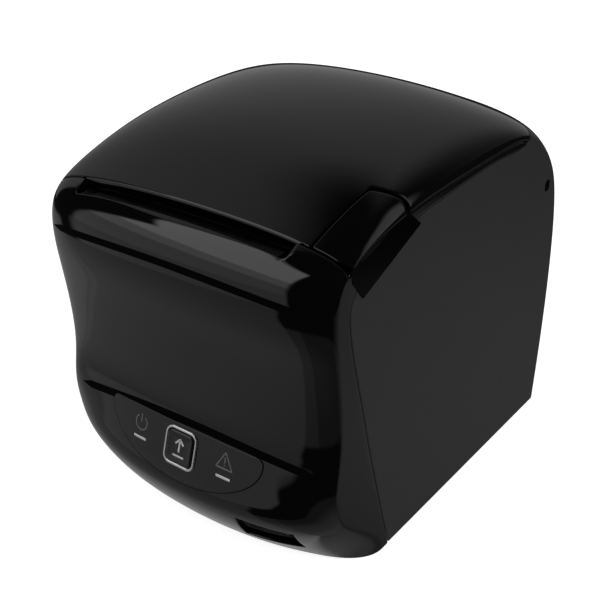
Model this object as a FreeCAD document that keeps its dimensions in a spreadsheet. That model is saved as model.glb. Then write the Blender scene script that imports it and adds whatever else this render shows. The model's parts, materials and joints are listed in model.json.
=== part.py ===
import FreeCAD, Part
import math
import os
import re
from types import SimpleNamespace

import Sketcher
from FreeCAD import Placement, Rotation, Vector

# Receipt printer for 80 mm thermal paper, with a hinged cover and a cover lever.
# Millimetres, X to the right, front towards -Y, Z up.
# The origin is on the floor, under the middle of the case.

doc = FreeCAD.newDocument("receipt_printer")
sheet = doc.addObject("Spreadsheet::Sheet", "Sizes")

SIZES = {
    # case as a whole
    "case_width": 128.0,
    "case_depth": 174.0,
    "case_top": 157.6,
    "foot_height": 1.5,
    "base_recess": 1.0,
    "wall": 2.4,
    "bulge_fullness": 0.85,
    "panel_gap": 0.4,
    "fit_gap": 0.3,
    # cover and paper mouth
    "lip_setback": 15.5,
    "lip_edge_drop": 31.0,
    "cover_edge_rise": 0.3,
    "shoulder_width": 18.0,
    "tongue_drop": 36.6,
    "mouth_margin": 7.75,
    "mouth_open": 6.0,
    "mouth_corner": 2.5,
    "lip_wall": 2.2,
    "lip_wall_drop": 29.2,
    "liner_thickness": 1.8,
    "liner_margin": 1.0,
    "liner_front": 11.0,
    "liner_rear": 17.0,
    # cover hinge
    "hinge_setback": 21.0,
    "hinge_drop": 28.6,
    "hinge_pin_diameter": 4.0,
    "hinge_pin_clearance": 0.05,
    "ear_thickness": 3.5,
    "ear_radius": 4.6,
    "ear_gap": 0.6,
    "bracket_width": 5.0,
    "bracket_depth": 14.0,
    "bracket_drop": 22.0,
    # cover lever
    "lever_width": 14.2,
    "lever_taper": 3.5,
    "lever_inner_length": 26.5,
    "lever_length": 33.6,
    "lever_corner": 3.0,
    "lever_gap": 0.7,
    "lever_front_gap": 0.8,
    "lever_rear_gap": 1.7,
    "lever_rib": 5.0,
    "skirt_proud": 0.6,
    "skirt_thickness": 1.0,
    "skirt_gap": 0.5,
    "skirt_sag": 0.9,
    "skirt_lift": 2.0,
    "lever_axis_setback": 50.0,
    "lever_axis_drop": 22.6,
    "lever_pin_diameter": 2.5,
    "lever_pin_clearance": 0.05,
    "lever_boss_diameter": 4.8,
    # control panel on the chin
    "panel_tilt": 16.5,
    "panel_set": 4.0,
    "panel_height": 41.7,
    "panel_width": 72.4,
    "panel_top": 8.8,
    "panel_drop": 21.7,
    "panel_thickness": 2.2,
    "panel_corner": 2.0,
    "ring_size": 15.2,
    "ring_corner": 3.4,
    "ring_width": 1.2,
    "ring_proud": 0.8,
    "button_gap": 0.25,
    "button_proud": 1.2,
    "button_depth": 5.0,
    "button_travel": 0.9,
    "lens_offset": 20.5,
    "lens_rise": 2.6,
    "lens_radius": 4.6,
    "pill_drop": 4.9,
    "pill_length": 10.0,
    "pill_height": 1.6,
    # power switch in its recess
    "switch_side": 26.0,
    "switch_setback": 8.4,
    "switch_z": 18.6,
    "switch_turn": 14.0,
    "switch_tilt": 30.0,
    "recess_width": 23.0,
    "recess_height": 12.0,
    "recess_depth": 4.0,
    "recess_wall": 1.6,
    "bezel_depth": 9.0,
    "rocker_width": 14.0,
    "rocker_height": 7.0,
    "rocker_depth": 5.0,
    "rocker_proud": 2.2,
    "rocker_swing": 12.0,
    "rocker_sink": 1.6,
    "pivot_radius": 1.0,
    "pivot_reach": 1.5,
    # base
    "base_thickness": 2.5,
    "foot_diameter": 12.0,
    "foot_inset_x": 16.0,
    "foot_inset_front": 46.0,
    "foot_inset_rear": 18.0,
    "screw_diameter": 3.0,
    "screw_head": 5.5,
    "screw_head_height": 1.1,
    "screw_grip": 9.0,
    # paper well
    "mech_shift": -2.75,
    "well_play": 0.5,
    "well_wall": 2.0,
    "well_front_gap": 6.5,
    "well_rear_gap": 21.5,
    "well_floor": 22.5,
    "well_top": 110.0,
    "leg_size": 8.0,
    "leg_inset": 14.5,
    # steel chassis
    "chassis_margin": 7.0,
    "sheet_steel": 1.2,
    "chassis_front": 15.0,
    "chassis_rear": 59.0,
    "chassis_shoulder": 1.0,
    "chassis_step": 40.0,
    "chassis_toe": 39.0,
    "tab_depth": 3.3,
    "tab_front": 12.5,
    # platen
    "platen_setback": 25.5,
    "platen_drop": 39.6,
    "platen_diameter": 12.0,
    "platen_inset": 24.0,
    "shaft_diameter": 5.0,
    "shaft_clearance": 0.04,
    "notch_clearance": 0.5,
    "bush_diameter": 9.0,
    "bush_flange": 1.0,
    "arm_thickness": 1.5,
    "arm_margin": 3.0,
    "arm_plate_drop": 27.6,
    # print head
    "nip_gap": 0.4,
    "head_thickness": 2.0,
    "head_height": 12.0,
    "head_rise": 2.0,
    "sink_thickness": 3.5,
    "sink_drop": 4.0,
    "spring_leaf": 0.8,
    # paper drive gears
    "gear_module": 0.8,
    "gear_width": 3.5,
    "gear_mesh_gap": 0.25,
    "tooth_share": 0.40,
    "platen_teeth": 24,
    "idler_teeth": 30,
    "pinion_teeth": 12,
    "idler_angle": 275.0,
    "pinion_angle": 315.0,
    "gear_plate_gap": 0.6,
    "motor_diameter": 35.0,
    "motor_length": 20.0,
    "motor_shaft": 4.0,
    # cutter and tear bar
    "cut_level_drop": 31.6,
    "blade_thickness": 1.0,
    "blade_gap": 0.2,
    "blade_depth": 5.6,
    "blade_travel": 6.5,
    "fixed_thickness": 1.2,
    "fixed_front": 2.5,
    "cutter_frame_height": 4.9,
    "tear_thickness": 1.0,
    # latch
    "latch_setback": 39.5,
    "latch_drop": 33.6,
    "latch_diameter": 4.0,
    "hook_thickness": 1.6,
    "latch_arm": 13.0,
    "latch_gap": 0.5,
    "nose_gap": 1.6,
    # electronics
    "board_thickness": 1.6,
    "board_stand": 2.0,
    "board_width": 55.0,
    "board_front": 66.0,
    "board_rear": 9.0,
    "socket_face": 5.0,
    "plate_inset": 7.6,
    "bay_height": 20.0,
    "hatch_size": 3.0,
}

# Sizes that follow from the others
FORMULAS = {
    "platen_length": "=case_width - 2 * platen_inset",
    "mouth_width": "=platen_length + 2 * mouth_margin",
    "chassis_width": "=platen_length + 2 * chassis_margin",
    "arm_spacing": "=platen_length + 2 * arm_margin",
    "well_width": "=platen_length + 2 * well_play",
    "roll_radius": "=(case_depth - chassis_rear - well_front_gap - well_rear_gap) / 2 - well_wall",
    "well_setback": "=well_rear_gap + well_wall + roll_radius",
    "leg_spacing_x": "=well_width + 2 * well_wall - leg_size",
    "leg_spacing_y": "=2 * (roll_radius - leg_inset)",
    "tongue_width": "=case_width - 2 * shoulder_width",
    "liner_width": "=tongue_width - 2 * liner_margin",
    "lever_inner": "=case_width / 2 - lever_width",
    "switch_x": "=case_width / 2 - switch_side",
}

# Outline stations: set back of the middle line and of the side line from the
# front (or rear) face, and their level from the floor (or from the crown).
STATIONS = {
    "foot": ("front", "floor", 19.0, 0.5, 43.0, 0.5),
    "under": ("front", "floor", 7.5, 10.5, 37.0, 11.5),
    "chin": ("front", "floor", 0.1, 25.5, 22.0, 24.5),
    "plate": ("front", "floor", 2.7, 37.5, 14.7, 33.0),
    "shelf": ("front", "floor", 6.5, 51.0, 12.3, 47.0),
    "waist": ("front", "floor", 7.4, 58.5, 14.1, 60.8),
    "chest": ("front", "crown", 3.5, 65.6, 12.5, 65.6),
    "nose": ("front", "crown", 0.3, 46.6, 10.9, 49.6),
    "brow": ("front", "crown", 3.6, 32.1, 12.1, 36.6),
    "lip": ("front", "crown", 15.5, 23.4, 20.5, 28.6),
    "slope": ("front", "crown", 37.5, 10.6, 39.5, 23.4),
    "crest": ("front", "crown", 67.5, 1.6, 67.5, 20.5),
    "crown": ("rear", "crown", 64.5, 0.0, 64.5, 19.6),
    "seat": ("rear", "crown", 36.5, 9.1, 36.5, 22.2),
    "hood": ("rear", "crown", 18.5, 17.6, 19.5, 33.6),
    "shoulder": ("rear", "crown", 6.5, 36.6, 8.0, 48.3),
    "back": ("rear", "floor", 0.0, 62.0, 1.1, 60.0),
    "heel": ("rear", "floor", 2.5, 0.5, 3.0, 0.5),
}

# Seam between the front shell and the case, on the side face: front part first.
SEAM = {
    "seam_foot": ("front", "floor", 46.5, 0.5),
    "seam_low": ("front", "floor", 30.9, 52.2),
    "seam_mid": ("front", "floor", 23.8, 79.5),
    "seam_high": ("front", "crown", 18.5, 59.6),
    "seam_nose": ("front", "crown", 16.6, 49.0),
    "seam_turn": ("front", "crown", 16.9, 42.4),
    "seam_back": ("front", "crown", 22.0, 36.3),
    "strip_front": ("front", "crown", 36.0, 29.2),
    "strip_lever": ("front", "crown", 57.1, 25.1),
    "strip_mid": ("rear", "crown", 84.0, 22.9),
    "strip_top": ("rear", "crown", 61.3, 22.4),
    "strip_tail": ("rear", "crown", 44.0, 23.4),
}

# Side skirt of the lever on the right face: set back from the front, drop from the crown.
SKIRT = {
    "skirt_front_top": (15.9, 30.4),
    "skirt_rear_top": (49.5, 21.0),
    "skirt_rear_low": (56.8, 28.2),
    "skirt_tip": (23.3, 42.0),
    "skirt_brow": (17.4, 34.5),
}


def fill_sheet():
    """Write every driving size into the sheet under its own alias."""
    cells = dict(SIZES)
    for name, (_, _, mid_set, mid_level, side_set, side_level) in STATIONS.items():
        cells[f"{name}_mid_set"] = mid_set
        cells[f"{name}_mid_level"] = mid_level
        cells[f"{name}_side_set"] = side_set
        cells[f"{name}_side_level"] = side_level
    for name, (_, _, setback, level) in SEAM.items():
        cells[f"{name}_set"] = setback
        cells[f"{name}_level"] = level
    for name, (setback, drop) in SKIRT.items():
        cells[f"{name}_set"] = setback
        cells[f"{name}_drop"] = drop
    cells.update(FORMULAS)
    for row, (alias, number) in enumerate(cells.items(), start=1):
        sheet.set(f"A{row}", alias)
        sheet.set(f"B{row}", str(number))
        sheet.setAlias(f"B{row}", alias)
    doc.recompute()
    return SimpleNamespace(**{alias: float(sheet.get(alias)) for alias in cells})


size = fill_sheet()
half_width = size.case_width / 2
front_y = -size.case_depth / 2
rear_y = size.case_depth / 2
far = 2 * size.case_depth

# Places that several sub-parts share, as expressions on the sheet
FRONT = "(-case_depth / 2)"
REAR = "(case_depth / 2)"
HALF = "(case_width / 2)"
FLOOR_TOP = "(foot_height + base_thickness)"
PLATEN_Y = "(platen_setback - case_depth / 2)"
PLATEN_Z = "(case_top - platen_drop)"
HINGE_Y = "(case_depth / 2 - hinge_setback)"
HINGE_Z = "(case_top - hinge_drop)"
LEVER_Y = "(lever_axis_setback - case_depth / 2)"
LEVER_Z = "(case_top - lever_axis_drop)"
LATCH_Y = "(latch_setback - case_depth / 2)"
LATCH_Z = "(case_top - latch_drop)"
CUT_Z = "(case_top - cut_level_drop)"
PLATE_LEFT = "(mech_shift - chassis_width / 2)"
PLATE_RIGHT = "(mech_shift + chassis_width / 2)"
HEAD_FACE = "(platen_setback - case_depth / 2 - platen_diameter / 2 - nip_gap)"
LIP_BACK = "(lip_setback - case_depth / 2 + panel_gap + lip_wall)"
BOARD_TOP = "(foot_height + base_thickness + board_stand + board_thickness)"

WORD = re.compile(r"\b[a-z][a-z0-9_]*\b")


def bound(text):
    """Turn a formula on size names into an expression on the sheet's cells."""
    return WORD.sub(lambda found: "Sizes." + found.group(), text)


def bind(thing, **formulas):
    """Bind properties of a document object to formulas; x, y and z are its place."""
    paths = {"x": "Placement.Base.x", "y": "Placement.Base.y", "z": "Placement.Base.z"}
    for name, text in formulas.items():
        thing.setExpression(paths.get(name, name), bound(text))
    return thing


def box(name, length, width, height, x, y, z):
    """A bound block; x, y and z are its lowest corner."""
    block = doc.addObject("Part::Box", name)
    return bind(block, Length=length, Width=width, Height=height, x=x, y=y, z=z)


def rod(name, radius, length, x, y, z):
    """A bound cylinder along X that starts at x."""
    cylinder = doc.addObject("Part::Cylinder", name)
    cylinder.Placement = Placement(Vector(), Rotation(Vector(0, 1, 0), 90))
    return bind(cylinder, Radius=radius, Height=length, x=x, y=y, z=z)


def post(name, radius, height, x, y, z):
    """A bound upright cylinder."""
    cylinder = doc.addObject("Part::Cylinder", name)
    return bind(cylinder, Radius=radius, Height=height, x=x, y=y, z=z)


def fuse(name, *shapes):
    """One object from several; shapes that don't touch stay separate solids."""
    joined = doc.addObject("Part::MultiFuse", name)
    joined.Shapes = list(shapes)
    return joined


def cut(name, base, *tools):
    """A base with one or more tools taken away."""
    result = doc.addObject("Part::Cut", name)
    result.Base = base
    result.Tool = tools[0] if len(tools) == 1 else fuse(name + "_tools", *tools)
    return result


def common(name, first, second):
    """The part that two objects share."""
    result = doc.addObject("Part::Common", name)
    result.Base = first
    result.Tool = second
    return result


def feature(name, shape):
    """A document object that holds a shape made in code."""
    holder = doc.addObject("Part::Feature", name)
    holder.Shape = shape
    return holder


# Outer form of the case

def station_point(end, datum, setback, level):
    """A point of an outline, as Y and Z, from its set back and level."""
    y = front_y + setback if end == "front" else rear_y - setback
    z = level if datum == "floor" else size.case_top - level
    return Vector(0, y, z)


def outline_points(which):
    """The stations of the middle line or of the side line."""
    points = []
    for name, (end, datum, *_) in STATIONS.items():
        setback = getattr(size, f"{name}_{which}_set")
        level = getattr(size, f"{name}_{which}_level")
        points.append(station_point(end, datum, setback, level))
    return points


def station_parameters():
    """Curve parameters shared by both outlines, spaced by the root of the chords."""
    points = outline_points("mid")
    parameters = [0.0]
    for before, after in zip(points, points[1:]):
        parameters.append(parameters[-1] + math.sqrt(before.distanceToPoint(after)))
    return parameters


def spline(points, parameters=None):
    """A smooth curve through points."""
    curve = Part.BSplineCurve()
    if parameters:
        curve.interpolate(Points=points, Parameters=parameters)
    else:
        curve.interpolate(Points=points)
    return curve


def inset_outline(which, inset, below):
    """An outline moved inwards by a wall, with its two ends carried below the base."""
    parameters = station_parameters()
    points = outline_points(which)
    curve = spline(points, parameters)
    moved = []
    for point, parameter in zip(points, parameters):
        along = curve.tangent(parameter)[0]
        inwards = Vector(0, along.z, -along.y)
        moved.append(point + inwards * inset)
    for end in (0, -1):
        moved[end] = Vector(0, moved[end].y, size.foot_height - below)
    return spline(moved, parameters)


def case_form(inset, below=0.0):
    """Closed solid of the case's bulged form, drawn in by a wall thickness."""
    middle = inset_outline("mid", inset, below)
    side = inset_outline("side", inset, below)
    reach = half_width - inset
    faces = []
    ends = []
    for sign in (1, -1):
        across = Vector(sign * reach, 0, 0)
        rows = [[m, m + across, s + across] for m, s in zip(middle.getPoles(), side.getPoles())]
        weights = [[1.0, size.bulge_fullness, 1.0] for _ in rows]
        surface = Part.BSplineSurface()
        surface.buildFromPolesMultsKnots(
            rows, middle.getMultiplicities(), [3, 3], middle.getKnots(), [0.0, 1.0],
            False, False, 3, 2, weights)
        faces.append(surface.toShape())
        cheek = side.toShape()
        cheek.translate(across)
        sill = Part.LineSegment(side.EndPoint + across, side.StartPoint + across).toShape()
        faces.append(Part.Face(Part.Wire([cheek, sill])))
        first, last = middle.FirstParameter, middle.LastParameter
        ends += [surface.uIso(first).toShape(), sill, surface.uIso(last).toShape()]
    rim = Part.sortEdges(ends)[0]
    faces.append(Part.Face(Part.Wire(rim)))
    shell = Part.makeShell(faces)
    shell.sewShape()
    solid = Part.makeSolid(shell)
    if solid.Volume < 0:
        solid.reverse()
    return solid


def side_prism(edges, x_from=-far, x_to=far):
    """A closed outline on the side view, carried across in X."""
    face = Part.Face(Part.Wire(Part.sortEdges(edges)[0]))
    face.translate(Vector(x_from, 0, 0))
    return face.extrude(Vector(x_to - x_from, 0, 0))


def chain(*points):
    """Straight edges through points."""
    return [Part.LineSegment(a, b).toShape() for a, b in zip(points, points[1:])]


def seam_curve():
    """The seam from the base up the side, then back under the cover."""
    points = []
    for name, (end, datum, *_) in SEAM.items():
        points.append(station_point(end, datum, getattr(size, f"{name}_set"), getattr(size, f"{name}_level")))
    return spline(points).toShape()


def cover_edge_points():
    """The lower edge of the cover on the side face, front to rear."""
    names = ("lip", "slope", "crest", "crown", "seat")
    every = dict(zip(STATIONS, outline_points("side")))
    rise = Vector(0, 0, size.cover_edge_rise)
    points = [every[name] + rise for name in names]
    front = Vector(0, front_y + size.lip_setback, size.case_top - size.lip_edge_drop)
    return [front] + points


def hinge_point():
    """The cover's hinge axis on the side view."""
    return Vector(0, rear_y - size.hinge_setback, size.case_top - size.hinge_drop)


def hinge_barrel(radius, x_from=-far, x_to=far):
    """A cylinder about the hinge axis."""
    start = hinge_point() + Vector(x_from, 0, 0)
    return Part.makeCylinder(radius, x_to - x_from, start, Vector(1, 0, 0))


def cover_region(gap):
    """Everything over the cover's lower edge; at the rear it runs round the hinge axis."""
    points = [point + Vector(0, 0, gap) for point in cover_edge_points()]
    points[0] += Vector(0, gap, 0)
    seat = points[-1]
    top = size.case_top + far
    back = (seat.y + hinge_point().y) / 2
    roof = chain(
        seat, Vector(0, back, seat.z), Vector(0, back, top), Vector(0, points[0].y, top), points[0])
    region = side_prism([spline(points).toShape()] + roof)
    radius = (cover_edge_points()[-1] - hinge_point()).Length
    region = region.cut(hinge_barrel(radius + gap))
    half = size.tongue_width / 2 - gap
    low = size.case_top - size.tongue_drop + gap
    tongue = Part.makeBox(2 * half, far, far, Vector(-half, seat.y, low))
    return region.fuse(tongue)


def front_region():
    """Everything in front of the seam and under the cover's edge."""
    seam = seam_curve()
    edge = cover_edge_points()
    foot = seam.valueAt(seam.FirstParameter)
    tail = edge[-1]
    end = seam.valueAt(seam.LastParameter)
    tip = Vector(0, tail.y + size.panel_gap, tail.z - size.panel_gap)
    over = [point + Vector(0, 0, size.wall) for point in edge]
    high = size.case_top + far
    outside = chain(
        over[0], Vector(0, edge[0].y, high), Vector(0, -far, high), Vector(0, -far, -far),
        Vector(0, foot.y, -far), foot)
    rear = chain(end, tip, tail, over[-1])
    return side_prism([seam, spline(over).toShape()] + rear + outside)


outer_form = feature("outer_form", case_form(0.0, below=size.base_recess))
inner_form = feature("inner_form", case_form(size.wall, below=size.base_recess + 1.0))
liner_form = feature("liner_form", case_form(size.wall + size.liner_thickness, below=size.base_recess + 2.0))
case_skin = cut("case_skin", outer_form, inner_form)

cover_zone = feature("cover_zone", cover_region(0.0))
cover_zone_raised = feature("cover_zone_raised", cover_region(size.panel_gap))
front_zone = feature("front_zone", front_region())
gap_step = Vector(0, size.panel_gap, -size.panel_gap)
front_zone_grown = feature("front_zone_grown", front_region().translated(gap_step))
doc.recompute()


def framed(name, shape, place):
    """A shape made in code about its own origin, then placed."""
    holder = doc.addObject("Part::Feature", name)
    holder.Shape = shape
    holder.Placement = place.multiply(shape.Placement)
    return holder


def slab(x_half, y_low, y_high, z_low, z_high, corner=0.0):
    """A block centred in X; its edges along Z may be rounded."""
    block = Part.makeBox(2 * x_half, y_high - y_low, z_high - z_low, Vector(-x_half, y_low, z_low))
    if corner > 0:
        upright = [edge for edge in block.Edges if abs(edge.tangentAt(edge.FirstParameter).z) > 0.5]
        block = block.makeFillet(corner, upright)
    return block


# Control panel on the chin: shapes in the panel's own frame, Z out of the panel

panel_place = Placement(
    Vector(0, front_y + size.panel_set, size.panel_height),
    Rotation(Vector(1, 0, 0), 90 - size.panel_tilt))


def panel_prism(grow):
    """The D shaped outline of the panel, straight on top and half an ellipse below."""
    half = size.panel_width / 2 + grow
    top = size.panel_top + grow
    corner = size.panel_corner + grow
    spring = top - corner
    drop = size.panel_drop - size.panel_corner + grow
    ellipse = Part.Ellipse(Vector(0, spring, 0), half, drop)
    tip = corner * (1 - math.sqrt(0.5))
    edges = [Part.ArcOfEllipse(ellipse, math.pi, 2 * math.pi).toShape()]
    edges += chain(Vector(half - corner, top, 0), Vector(-half + corner, top, 0))
    for sign in (1, -1):
        edges.append(Part.Arc(Vector(sign * half, spring, 0), Vector(sign * (half - tip), top - tip, 0),
                              Vector(sign * (half - corner), top, 0)).toShape())
    deep = 3 * size.panel_thickness
    face = Part.Face(Part.Wire(Part.sortEdges(edges)[0]))
    return face.translated(Vector(0, 0, -deep)).extrude(Vector(0, 0, 2 * deep))


def pill(x, y, length, height, z_low, z_high):
    """A short rounded bar, standing on its outline in the panel's frame."""
    half = length / 2 - height / 2
    body = Part.makeBox(2 * half, height, z_high - z_low, Vector(x - half, y - height / 2, z_low))
    for end in (-half, half):
        body = body.fuse(Part.makeCylinder(height / 2, z_high - z_low, Vector(x + end, y, z_low)))
    return body.removeSplitter()


def lens_prism(side, grow):
    """A round window and the pill under it, for one indicator."""
    deep = 3 * size.panel_thickness
    x = side * size.lens_offset
    disc = Part.makeCylinder(size.lens_radius + grow, 2 * deep, Vector(x, size.lens_rise, -deep))
    bar = pill(x, -size.pill_drop, size.pill_length + 2 * grow, size.pill_height + 2 * grow, -deep, deep)
    return disc.fuse(bar)


panel_hole = framed("panel_hole", panel_prism(size.fit_gap), panel_place)
panel_blank = framed("panel_blank", panel_prism(0.0), panel_place)
lens_left_zone = framed("lens_left_zone", lens_prism(-1, 0.0), panel_place)
lens_right_zone = framed("lens_right_zone", lens_prism(1, 0.0), panel_place)
ring_half = size.ring_size / 2
ring_block = slab(ring_half, -ring_half, ring_half, -3 * size.panel_thickness,
                  3 * size.panel_thickness, size.ring_corner)
ring_hole = framed("ring_hole", ring_block, panel_place)
panel_post = Part.makeCylinder(2.0, 10.0, Vector(0, 0, -12.0))
panel_posts = framed("panel_posts", Part.makeCompound(
    [panel_post.translated(Vector(x, 0, 0)) for x in (-30.5, 30.5)]), panel_place)
panel_posts_inside = common("panel_posts_inside", panel_posts, inner_form)
panel_skin = common("panel_skin", case_skin, panel_blank)
panel_skin_open = cut("panel_skin_open", panel_skin, ring_hole, lens_left_zone, lens_right_zone)
control_panel = fuse("control_panel", panel_skin_open, panel_posts_inside)
power_lens = common("power_lens", case_skin, lens_left_zone)
error_lens = common("error_lens", case_skin, lens_right_zone)

# Button, its ring and the small board behind the panel

ring_inner = ring_half - size.ring_width
ring_frame = slab(ring_half, -ring_half, ring_half, -size.panel_thickness, size.ring_proud, size.ring_corner)
ring_void = slab(ring_inner, -ring_inner, ring_inner, -far, far, size.ring_corner - size.ring_width)
button_ring = framed("button_ring", ring_frame.cut(ring_void), panel_place)
button_half = ring_inner - size.button_gap
button_corner = size.ring_corner - size.ring_width - size.button_gap
button_block = slab(button_half, -button_half, button_half, -size.button_depth, size.button_proud,
                    button_corner)
rim_edges = [edge for edge in button_block.Edges if abs(edge.CenterOfMass.z - size.button_proud) < 0.01]
feed_button = framed("feed_button", button_block.makeFillet(0.5, rim_edges), panel_place)
board_face = -12.0
panel_board = framed("panel_board", slab(33.0, -6.0, 7.0, board_face - size.board_thickness, board_face),
                     panel_place)
switch_top = -size.button_depth - size.button_travel - 0.1
tact_base = slab(3.0, -3.0, 3.0, board_face, switch_top - 1.0)
tact_stem = Part.makeCylinder(1.75, 1.0, Vector(0, 0, switch_top - 1.0))
tact_switch = framed("tact_switch", tact_base.fuse(tact_stem), panel_place)
led = slab(1.6, -1.0, 1.0, board_face, board_face + 1.6)
led_shapes = [led.translated(Vector(x, size.lens_rise, 0)) for x in (-size.lens_offset, size.lens_offset)]
panel_leds = framed("panel_leds", Part.makeCompound(led_shapes), panel_place)

# Power switch in a recess on the underside of the chin, in its own frame

switch_place = Placement(
    Vector(size.switch_x, front_y + size.switch_setback, size.switch_z),
    Rotation(Vector(0, 0, 1), size.switch_turn) * Rotation(Vector(1, 0, 0), 90 + size.switch_tilt))
recess_x = size.recess_width / 2
recess_y = size.recess_height / 2
recess_hole = framed("recess_hole", slab(recess_x, -recess_y, recess_y, -10.0, 20.0, 1.5), switch_place)
tray_x = recess_x + size.recess_wall
tray_y = recess_y + size.recess_wall
tray_low = -size.recess_depth - size.bezel_depth
tray_block = slab(tray_x, -tray_y, tray_y, tray_low, 10.0)
tray_void = slab(recess_x, -recess_y, recess_y, -size.recess_depth, 20.0, 1.5)
rocker_half = size.rocker_width / 2
rocker_pocket = slab(rocker_half + 0.7, -size.rocker_height / 2 - 0.3, size.rocker_height / 2 + 0.3,
                     tray_low + 1.6, far)


def rocker_pivot(radius, reach):
    """The rocker's two pivots, as one pin across the recess."""
    axis = -size.recess_depth - size.rocker_sink
    half = size.rocker_height / 2 + reach
    return Part.makeCylinder(radius, 2 * half, Vector(0, -half, axis), Vector(0, 1, 0))


pivot_hole = rocker_pivot(size.pivot_radius + size.shaft_clearance, size.pivot_reach + 0.1)
tray_form = framed("tray_form", tray_block.cut(tray_void).cut(rocker_pocket).cut(pivot_hole), switch_place)
switch_bezel = common("switch_bezel", tray_form, inner_form)


def rocker_shape():
    """A rocker seen along its axis: two sloped faces that meet over the pivot."""
    proud = -size.recess_depth + size.rocker_proud
    slope = math.tan(math.radians(size.rocker_swing / 2))
    axis = -size.recess_depth - size.rocker_sink
    points = [
        Vector(-rocker_half, 0, proud), Vector(0, 0, proud - rocker_half * slope),
        Vector(rocker_half, 0, proud), Vector(rocker_half - 1.0, 0, axis - size.rocker_depth / 2),
        Vector(-rocker_half + 1.0, 0, axis - size.rocker_depth / 2)]
    face = Part.Face(Part.makePolygon(points + points[:1]))
    face.translate(Vector(0, -size.rocker_height / 2, 0))
    solid = face.extrude(Vector(0, size.rocker_height, 0)).fuse(rocker_pivot(size.pivot_radius,
                                                                             size.pivot_reach))
    solid.rotate(Vector(0, 0, axis), Vector(0, 1, 0), -size.rocker_swing / 2)
    return solid


power_rocker = framed("power_rocker", rocker_shape(), switch_place)

# Cover lever: top cut from the cover's own surface, with a side skirt


def lever_plan(grow, rear_grow, front_inset=0.0):
    """The lever's outline from above, carried through the height of the case."""
    front = front_y + size.lip_setback - grow + front_inset
    inner = size.lever_inner - grow
    bend = front_y + size.lip_setback + size.lever_inner_length + rear_grow
    rear = front_y + size.lip_setback + size.lever_length + rear_grow
    points = [Vector(inner, front, 0), Vector(inner + size.lever_taper, bend, 0),
              Vector(half_width, rear, 0), Vector(half_width + 2 * size.wall, rear, 0),
              Vector(half_width + 2 * size.wall, front, 0)]
    face = Part.Face(Part.makePolygon(points + points[:1]))
    prism = face.extrude(Vector(0, 0, far))
    corner = [edge for edge in prism.Edges
              if abs(edge.CenterOfMass.x - inner - size.lever_taper) < 0.01 and edge.Length > far / 2]
    return prism.makeFillet(size.lever_corner, corner)


def skirt_prism(x_from, x_to, grow=0.0, sag=0.0):
    """The skirt's pointed outline on the side view."""
    points = []
    for name in SKIRT:
        setback = getattr(size, f"{name}_set")
        drop = getattr(size, f"{name}_drop")
        points.append(Vector(0, front_y + setback, size.case_top - drop - sag))
    outline = Part.makePolygon(points + points[:1])
    if grow > 0:
        outline = outline.makeOffset2D(grow)
    face = Part.Face(outline)
    face.translate(Vector(x_from, 0, 0))
    return face.extrude(Vector(x_to - x_from, 0, 0))


skirt_in = half_width - size.skirt_thickness
skirt_out = half_width + size.skirt_proud
lever_zone = feature("lever_zone", lever_plan(0.0, 0.0, size.lever_front_gap))
lever_clear = feature("lever_clear", lever_plan(size.lever_gap, size.lever_rear_gap))
skirt_block = feature("skirt_block", skirt_prism(skirt_in, skirt_out))
skirt_clear_shape = skirt_prism(skirt_in - far, far, size.skirt_gap)
skirt_clear_low = skirt_prism(skirt_in - far, far, size.skirt_gap, size.skirt_sag)
keep_right = Part.makeBox(far, 2 * far, 2 * far, Vector(skirt_in - size.skirt_gap, -far, -far))
skirt_clear = feature("skirt_clear", skirt_clear_shape.fuse(skirt_clear_low).common(keep_right))
skirt_clear_high = skirt_prism(skirt_in - far, far, size.skirt_gap, -size.skirt_lift)
skirt_path = feature("skirt_path", skirt_clear_high.common(keep_right))

cover_skin = common("cover_skin", case_skin, cover_zone_raised)
lever_top = common("lever_top", cover_skin, lever_zone)
rib_x = "(lever_inner + lever_taper + 0.5)"
RIB_FRONT = "(lip_setback - case_depth / 2 + 12)"
RIB_BACK = "(lip_setback - case_depth / 2 + lever_inner_length - 1.5)"
rib_upper_block = box("rib_upper_block", "lever_rib", "lever_inner_length - 13.5", "case_top",
                      rib_x, RIB_FRONT, LEVER_Z + " - lever_boss_diameter / 2")
rib_upper = common("rib_upper", rib_upper_block, inner_form)
rib_lower = box("rib_lower", "lever_rib", LEVER_Y + " - " + RIB_BACK + " + 4", "lever_boss_diameter",
                rib_x, RIB_BACK + " - 4", LEVER_Z + " - lever_boss_diameter / 2")
lever_boss = rod("lever_boss", "lever_boss_diameter / 2", "lever_rib", rib_x, LEVER_Y, LEVER_Z)
TAIL_FRONT = "(" + LATCH_Y + " + latch_diameter / 2 + latch_gap)"
lever_tail = box("lever_tail", "hook_thickness * 2", "3", LEVER_Z + " - " + LATCH_Z + " + latch_arm",
                 rib_x, TAIL_FRONT + " + 3", LATCH_Z + " - latch_arm")
lever_toe = box("lever_toe", "hook_thickness * 2", "4", "3.5", rib_x, TAIL_FRONT, LATCH_Z + " - latch_arm")
lever_bore = rod("lever_bore", "lever_pin_diameter / 2 + lever_pin_clearance", "lever_rib + 2",
                 rib_x + " - 1", LEVER_Y, LEVER_Z)
lever_solid = fuse("lever_solid", lever_top, skirt_block, rib_upper, rib_lower, lever_boss, lever_tail,
                   lever_toe)
cover_lever = cut("cover_lever", lever_solid, lever_bore)
lever_pin = rod("lever_pin", "lever_pin_diameter / 2", rib_x + " + lever_rib + 1 - " + PLATE_RIGHT,
                PLATE_RIGHT, LEVER_Y, LEVER_Z)

# Front shell, case, cover and liner

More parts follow.
